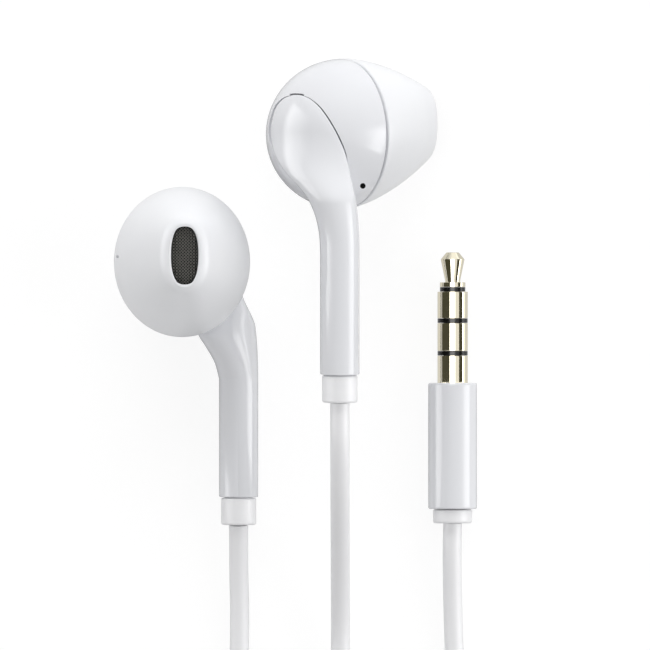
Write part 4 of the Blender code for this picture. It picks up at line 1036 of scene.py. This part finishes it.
# %% [markdown]
# ### Moulded plastics
#
# The stems and the back shells are ABS moulded in a polished steel tool: IOR
# 1.54 and a roughness near 0.10. What gives it away as plastic is a very slow
# waviness, called sink, of a few millimetres, and a touch of dust. The front
# shell comes from a tool with a fine spark-eroded grain, about 0.06 mm, so it
# looks satin. That grain is drawn at 0.12 mm to show.

# %% Polished white ABS
SINK_MM, SINK_HEIGHT_MM = 6.0, 0.004


def moulded_gloss(name, light, shade, roughness):
    material, tree, place = new_material(name)
    cloud = add(tree, "ShaderNodeTexNoise", {
        "Vector": place, "Scale": per_mm(9.0), "Detail": 2.0})
    dust = add(tree, "ShaderNodeTexNoise", {
        "Vector": place, "Scale": per_mm(0.7), "Detail": 5.0, "Roughness": 0.7})
    gloss = add(tree, "ShaderNodeMapRange", {
        "Value": dust.outputs["Fac"], "From Min": 0.35, "From Max": 0.75,
        "To Min": roughness, "To Max": roughness * 1.6})
    sink = add(tree, "ShaderNodeTexNoise", {
        "Vector": place, "Scale": per_mm(SINK_MM), "Detail": 1.0})
    last_nodes(tree, cloud, light, shade, gloss, sink, SINK_HEIGHT_MM, IOR=1.54)
    return material


gloss_abs = moulded_gloss("polished_white_abs", "#EEEFF2", "#EBECF0", 0.10)
print(gloss_abs.name)

# %% Satin white ABS with a spark-eroded grain
def moulded_satin(name, light, shade, roughness, grain_mm, grain_height):
    material, tree, place = new_material(name)
    cloud = add(tree, "ShaderNodeTexNoise", {
        "Vector": place, "Scale": per_mm(5.0), "Detail": 3.0})
    grain = add(tree, "ShaderNodeTexNoise", {
        "Vector": place, "Scale": per_mm(grain_mm), "Detail": 3.0, "Roughness": 0.6})
    gloss = add(tree, "ShaderNodeMapRange", {
        "Value": cloud.outputs["Fac"], "To Min": roughness - 0.03, "To Max": roughness + 0.03})
    last_nodes(tree, cloud, light, shade, gloss, grain, grain_height, IOR=1.52)
    return material


satin_abs = moulded_satin("satin_white_abs", "#F6F7F9", "#F2F3F6", 0.36, 0.12, 0.004)
print(satin_abs.name)

# %% [markdown]
# ### Soft white TPE
#
# The cable jacket and the strain reliefs are TPE, a rubbery plastic with a dry,
# even sheen: roughness about 0.40 and IOR 1.52. Its surface is slightly uneven,
# a few thousandths of a millimetre over a third of a millimetre. Light goes a
# little way into it, which a slightly lighter white stands for.

# %% Soft white TPE
soft_tpe = moulded_satin("soft_white_tpe", "#FBFBFC", "#F8F8FA", 0.40, 0.35, 0.003)
soft_key_rubber = moulded_satin("silicone_keys", "#E2E3E6", "#DBDDE0", 0.5, 0.2, 0.004)
print(soft_tpe.name, soft_key_rubber.name)

# %% [markdown]
# ### Gold-plated brass
#
# The contacts are brass, turned on a lathe, plated with nickel and then with
# gold so thin that it looks pale. Metallic is 1 and the default IOR stays. The
# lathe leaves fine rings about 0.05 mm apart, drawn here at 0.12 mm as a wave
# that runs along the axis.

# %% Turned metal with fine rings
def turned_metal(name, light, shade, roughness, ring_mm, ring_height):
    material, tree, place = new_material(name)
    stain = add(tree, "ShaderNodeTexNoise", {
        "Vector": place, "Scale": per_mm(2.5), "Detail": 4.0})
    # A wave texture at scale 1 has 20 bands in 2 pi units
    rings = add(tree, "ShaderNodeTexWave", {
        "Vector": place, "Scale": 2 * math.pi / 20 / (ring_mm * MM), "Distortion": 0.6,
        "Detail": 1.0}, wave_type="BANDS", bands_direction="Z", wave_profile="SIN")
    gloss = add(tree, "ShaderNodeMapRange", {
        "Value": stain.outputs["Fac"], "To Min": roughness * 0.85, "To Max": roughness * 1.25})
    last_nodes(tree, stain, light, shade, gloss, rings, ring_height, Metallic=1.0)
    return material


gold_plate = turned_metal("gold_plated_brass", "#FBF4E0", "#F7EFD4", 0.055, 0.12, 0.0004)
nickel_plate = turned_metal("nickel_plated_magnet", "#D9D8D2", "#CFCDC6", 0.22, 0.2, 0.001)
steel_sheet = turned_metal("pressed_steel", "#C6C8CB", "#B9BBBE", 0.3, 0.3, 0.001)
copper_coil = turned_metal("enamelled_copper_wire", "#C77D4F", "#B56A3E", 0.25, 0.12, 0.02)
print(gold_plate.name, nickel_plate.name, steel_sheet.name, copper_coil.name)

# %% [markdown]
# ### The dark parts
#
# The port wires are coated steel, so they glint a little. The plug's rings and
# the cable tie are black nylon. The felt behind the wires and the cloth in the
# vents swallow light. The felt's black also colours the dark lining of the
# port's wall, which is painted shade.

# %% Black nylon, coated wire, felt, film and circuit board
black_nylon = moulded_satin("black_nylon", "#0D0D0E", "#09090A", 0.2, 0.3, 0.001)
coated_wire = turned_metal("coated_steel_wire", "#7C7B77", "#6A6965", 0.38, 0.2, 0.001)
# Its black also colours the port's painted shade lining
port_felt = moulded_satin("acoustic_felt", "#1B1B1B", "#121212", 0.9, 0.09, 0.03)
vent_cloth = moulded_satin("black_vent_cloth", "#070708", "#030304", 0.95, 0.09, 0.03)
foam_ring = moulded_satin("foam_gasket", "#2A2A2C", "#1E1E20", 0.95, 0.15, 0.04)
solder_mask = moulded_satin("green_solder_mask", "#1F6A45", "#1A5C3B", 0.25, 0.6, 0.006)
clear_pet = moulded_satin("clear_pet_film", "#D7DADC", "#CDD1D4", 0.12, 1.2, 0.01)
driver_abs = moulded_satin("dark_driver_abs", "#3A3B3E", "#323336", 0.45, 0.15, 0.004)
print(len(bpy.data.materials), "materials")

# %% Put the materials on the pieces
SLOT_LOOKS = {"gloss_white_abs": gloss_abs, "matt_white_abs": satin_abs,
              "soft_white_tpe": soft_tpe, "pale_gold": gold_plate,
              "black_plastic": black_nylon}
DARK_MESH_LOOKS = {"port_wires": coated_wire, "port_felt": port_felt, "vent_cloth": vent_cloth}
for item, slot in pieces:
    kind = item.name.split("_", 1)[1]
    item.data.materials.clear()
    item.data.materials.append(DARK_MESH_LOOKS[kind] if slot == "dark_mesh"
                               else SLOT_LOOKS[slot])
print(len(pieces), "pieces dressed")

# %% Finish the frame's own solids, the hidden ones too
INNER_FINISHES = {
    "driver_frame": driver_abs, "yoke": steel_sheet, "magnet": nickel_plate,
    "top_plate": steel_sheet, "voice_coil": copper_coil, "diaphragm": clear_pet,
    "driver_cover": steel_sheet, "gasket": foam_ring, "terminal_board": solder_mask,
    "cable_end": soft_tpe,
}
NODE_FINISHES = {bud + "_" + part: look for bud in BUD_PLACES
                 for part, look in INNER_FINISHES.items()}
NODE_FINISHES.update({
    "plug_inner_mould": soft_tpe, "splitter": soft_tpe, "remote_rear_cover": gloss_abs,
    "remote_front_cover": gloss_abs, "remote_key_up": soft_key_rubber,
    "remote_key_centre": soft_key_rubber, "remote_key_down": soft_key_rubber,
    "remote_board": solder_mask, "remote_switches": steel_sheet,
    "remote_microphone": nickel_plate, "remote_relief_upper": soft_tpe,
    "remote_relief_lower": soft_tpe,
})
for node, look in NODE_FINISHES.items():
    for slot in bpy.data.objects[node].material_slots:
        slot.material = look
print(len(NODE_FINISHES), "solids finished")

# %% [markdown]
# ## Table, background and light
#
# The set lies on a white table in a white room. A table that is lit by lamps
# alone would need so much light for pure white that the white plastic would burn
# out. So the lamps stay at a level where a colour renders as it is written, and
# the camera and the reflections see a white of strength 1 behind the object.
# What the camera sees of the table is partly lit paper, which carries the soft
# shadows, and for the rest a glow of its own. Gloss sees the table as a glow
# that gets darker where a piece shelters it.

# %% White table
TABLE_SIZE = 4.0
TABLE_DROP = 0.05 * MM          # keeps the table clear of what lies on it
SHADOW_PART = "#848484"         # as much of the table as shadows can darken
WHITE_PART = 0.83               # and the white that they can't
SHELTER_REACH = 30 * MM         # how far off a piece still shelters the table
SHELTERED, OPEN = 0.6, 0.97     # share of free air close to a piece, and far from all
MIRROR_DARK, MIRROR_LIGHT = 0.04, 1.15      # what gloss sees of the table there


def seen_by(tree, *kinds):
    """1 for rays of these kinds, 0 for all others."""
    rays = add(tree, "ShaderNodeLightPath")
    found = rays.outputs[kinds[0]]
    for kind in kinds[1:]:
        found = add(tree, "ShaderNodeMath", {0: found, 1: rays.outputs[kind]},
                    operation="MAXIMUM").outputs["Value"]
    return found


table_mesh = bmesh.new()
bmesh.ops.create_grid(table_mesh, x_segments=1, y_segments=1, size=TABLE_SIZE / 2)
table = add_object("table", table_mesh, body=None)
table.location.z = -TABLE_DROP
material, tree, place = new_material("white_table")
speck = add(tree, "ShaderNodeTexNoise", {"Vector": place, "Scale": per_mm(3.0), "Detail": 3.0})
tint = add(tree, "ShaderNodeMix", {0: speck.outputs["Fac"], MIX_A: linear("#F7F7F7"),
                                   MIX_B: linear("#F4F4F4")}, data_type="RGBA")
paper = add(tree, "ShaderNodeBsdfDiffuse", {"Color": tint.outputs[MIX_COLOUR]})
shadow_part = add(tree, "ShaderNodeBsdfDiffuse", {"Color": linear(SHADOW_PART)})
white_part = add(tree, "ShaderNodeEmission", {"Color": (1, 1, 1, 1), "Strength": WHITE_PART})
white_table = add(tree, "ShaderNodeAddShader", {
    0: shadow_part.outputs["BSDF"], 1: white_part.outputs["Emission"]})
seen = add(tree, "ShaderNodeMixShader", {
    0: seen_by(tree, "Is Camera Ray"), 1: paper.outputs["BSDF"],
    2: white_table.outputs["Shader"]})
shelter = add(tree, "ShaderNodeAmbientOcclusion", {"Distance": SHELTER_REACH}, samples=4)
open_share = add(tree, "ShaderNodeMapRange", {
    "Value": shelter.outputs["AO"], "From Min": SHELTERED, "From Max": OPEN,
    "To Min": MIRROR_DARK, "To Max": MIRROR_LIGHT})
mirror_white = add(tree, "ShaderNodeEmission", {
    "Color": (1, 1, 1, 1), "Strength": open_share.outputs["Result"]})
surface = add(tree, "ShaderNodeMixShader", {
    0: seen_by(tree, "Is Glossy Ray", "Is Transmission Ray"), 1: seen.outputs["Shader"],
    2: mirror_white.outputs["Emission"]})
add(tree, "ShaderNodeOutputMaterial", {"Surface": surface.outputs["Shader"]})
table.data.materials.append(material)
print(table.name, TABLE_SIZE, "m wide")

# %% White room
ROOM_LIGHT = 0.455
world = bpy.data.worlds.new("white_room")
bpy.context.scene.world = world
world.use_nodes = True
tree = world.node_tree
tree.nodes.clear()
room = add(tree, "ShaderNodeBackground", {"Color": (1, 1, 1, 1), "Strength": ROOM_LIGHT})
white = add(tree, "ShaderNodeBackground", {"Color": (1, 1, 1, 1), "Strength": 1.0})
mixed = add(tree, "ShaderNodeMixShader", {
    0: seen_by(tree, "Is Camera Ray", "Is Glossy Ray", "Is Transmission Ray"),
    1: room.outputs["Background"], 2: white.outputs["Background"]})
add(tree, "ShaderNodeOutputWorld", {"Surface": mixed.outputs["Shader"]})
print("room", ROOM_LIGHT)

# %% [markdown]
# Three softboxes light the set from beyond the heads, from the right and, only
# faintly, from the left. So the tops of the domes are light and their lower left
# sides fall off to grey. Each stands so far away that the whole table gets the
# same light. Reflections don't see them: what gloss and metal show is placed
# as glowing cards, the way a studio sets up white and dark boards.

# %% Three far softboxes
AIM = Vector((5 * MM, -2 * MM, 4 * MM))
SOFTBOX_SPREAD = math.radians(60)
# Strength over pi is how much of white light each gives a face turned to it
for name, spot, strength in (("top_softbox", Vector((0.0, 0.90, 0.42)), 1.47),
                             ("right_softbox", Vector((0.90, 0.0, 0.42)), 0.92),
                             ("left_softbox", Vector((-0.90, 0.0, 0.42)), 0.25)):
    lamp = bpy.data.lights.new(name, "SUN")
    lamp.energy = strength
    lamp.angle = SOFTBOX_SPREAD
    box = bpy.data.objects.new(name, lamp)
    box.location = spot
    box.rotation_euler = (AIM - spot).to_track_quat("-Z", "Y").to_euler()
    box.visible_glossy = False
    bpy.context.scene.collection.objects.link(box)
    print(name, strength)

# %% [markdown]
# ### Glowing cards
#
# A card is a plane of light that only reflections see, and only from its front.
# It could be a lamp with a shape, but a plane with a material can also fade
# along its height, as the light on a real sheet of diffusing cloth does. That
# fading keeps the highlights on the domes soft.

# %% A card
def card(name, corners, colour, strength, fade=None, soft_end=None):
    """A flat card that only reflections see, and only from its front.

    fade holds (height, share) pairs: how bright the card is at each height.
    soft_end holds two Y places: from the first to the second the card dims to
    the white of the room.
    """
    mesh = bpy.data.meshes.new(name)
    mesh.from_pydata(corners, [], [(3, 2, 1, 0)])
    item = bpy.data.objects.new(name, mesh)
    bpy.context.scene.collection.objects.link(item)
    material, tree, place = new_material(name + "_paper")
    blotch = add(tree, "ShaderNodeTexNoise", {"Vector": place, "Scale": 12.0, "Detail": 2.0})
    light = add(tree, "ShaderNodeMapRange", {
        "Value": blotch.outputs["Fac"], "To Min": strength * 0.8,
        "To Max": strength * 1.2}).outputs["Result"]
    spot = add(tree, "ShaderNodeSeparateXYZ", {"Vector": place})
    if fade:
        top = fade[-1][0]
        share = add(tree, "ShaderNodeMapRange", {"Value": spot.outputs["Z"], "From Max": top})
        ramp = add(tree, "ShaderNodeValToRGB", {"Fac": share.outputs["Result"]})
        stops = ramp.color_ramp.elements
        stops[0].position, stops[1].position = fade[0][0] / top, 1.0
        for height, value in fade[1:-1]:
            stops.new(height / top)
        for stop, (height, value) in zip(stops, fade):
            stop.color = (value, value, value, 1)
        light = add(tree, "ShaderNodeMath", {0: light, 1: ramp.outputs["Color"]},
                    operation="MULTIPLY").outputs["Value"]
    if soft_end:
        kept = add(tree, "ShaderNodeMapRange", {
            "Value": spot.outputs["Y"], "From Min": soft_end[1],
            "From Max": soft_end[0]}, interpolation_type="SMOOTHSTEP")
        light = add(tree, "ShaderNodeMix", {0: kept.outputs["Result"], 2: 1.0, 3: light},
                    data_type="FLOAT").outputs[0]
    glow = add(tree, "ShaderNodeEmission", {"Color": linear(colour), "Strength": light})
    behind = add(tree, "ShaderNodeBsdfTransparent")
    which = add(tree, "ShaderNodeNewGeometry")
    one_sided = add(tree, "ShaderNodeMixShader", {
        0: which.outputs["Backfacing"], 1: glow.outputs["Emission"],
        2: behind.outputs["BSDF"]})
    add(tree, "ShaderNodeOutputMaterial", {"Surface": one_sided.outputs["Shader"]})
    mesh.materials.append(material)
    for kind in ("camera", "diffuse", "transmission", "shadow"):
        setattr(item, "visible_" + kind, False)
    print(name, colour, strength)

# %% Cards close beside the plug
METAL_FROM = shoulder.y - 0.05 * MM
METAL_TO = shoulder.y + PLUG_LENGTH + 12 * MM       # past the tip, which is round
# Each runs along the plug: its two edges as (across, above the axis) in mm,
# from the one to the other so that it faces the metal
for name, first, last, strength, colour in (
        ("table_card", (12.0, -2.5), (-12.0, -2.5), 0.68, "#FFFFFF"),
        ("left_dark_card", (-6.0, 1.37), (-6.0, 14.0), 0.062, "#FFFCD2"),
        ("right_dark_card", (6.0, 6.18), (6.0, 2.07), 0.055, "#FFFACB"),
        ("right_pale_card", (6.0, 16.0), (6.0, 6.2), 0.84, "#FFFFFF"),
        ("bright_card", (-3.4, 10.0), (2.7, 10.0), 4.5, "#FFFFFF")):
    card(name, [(plug_middle.x + x * MM, y, plug_middle.z + z * MM)
                for (x, z), y in ((first, METAL_FROM), (last, METAL_FROM),
                                  (last, METAL_TO), (first, METAL_TO))], colour, strength)

# %% Tall sheets to the right and to the left, brightest near the table
SHEET_AWAY = 0.30
RIGHT_END = AIM.x + SHEET_AWAY
# (elevation in degrees, share of the strength)
RIGHT_FADE = [(3, 0.9), (8, 1.0), (26, 1.0), (34, 0.62), (42, 0.33), (52, 0.26), (70, 0.22),
              (80, 0.2)]
LEFT_FADE = [(1, 0.35), (5, 0.6), (12, 1.0), (18, 1.0), (28, 0.8), (38, 0.55), (50, 0.28),
             (62, 0.1)]
for name, first, last, strength, levels, soft_end in (
        ("right_sheet", (RIGHT_END, -0.11), (RIGHT_END, 0.10), 4.8, RIGHT_FADE, (0.01, 0.09)),
        ("left_sheet", (-0.24, 0.22), (-0.30, -0.05), 4.6, LEFT_FADE, None)):
    fade = [(SHEET_AWAY * math.tan(math.radians(angle)), share) for angle, share in levels]
    low, high = fade[0][0], fade[-1][0]
    card(name, [(*first, high), (*first, low), (*last, low), (*last, high)], "#FFFFFF",
         strength, fade, soft_end)

# %% View transform, and the end
bpy.context.scene.view_settings.view_transform = "Standard"
bpy.context.view_layer.update()
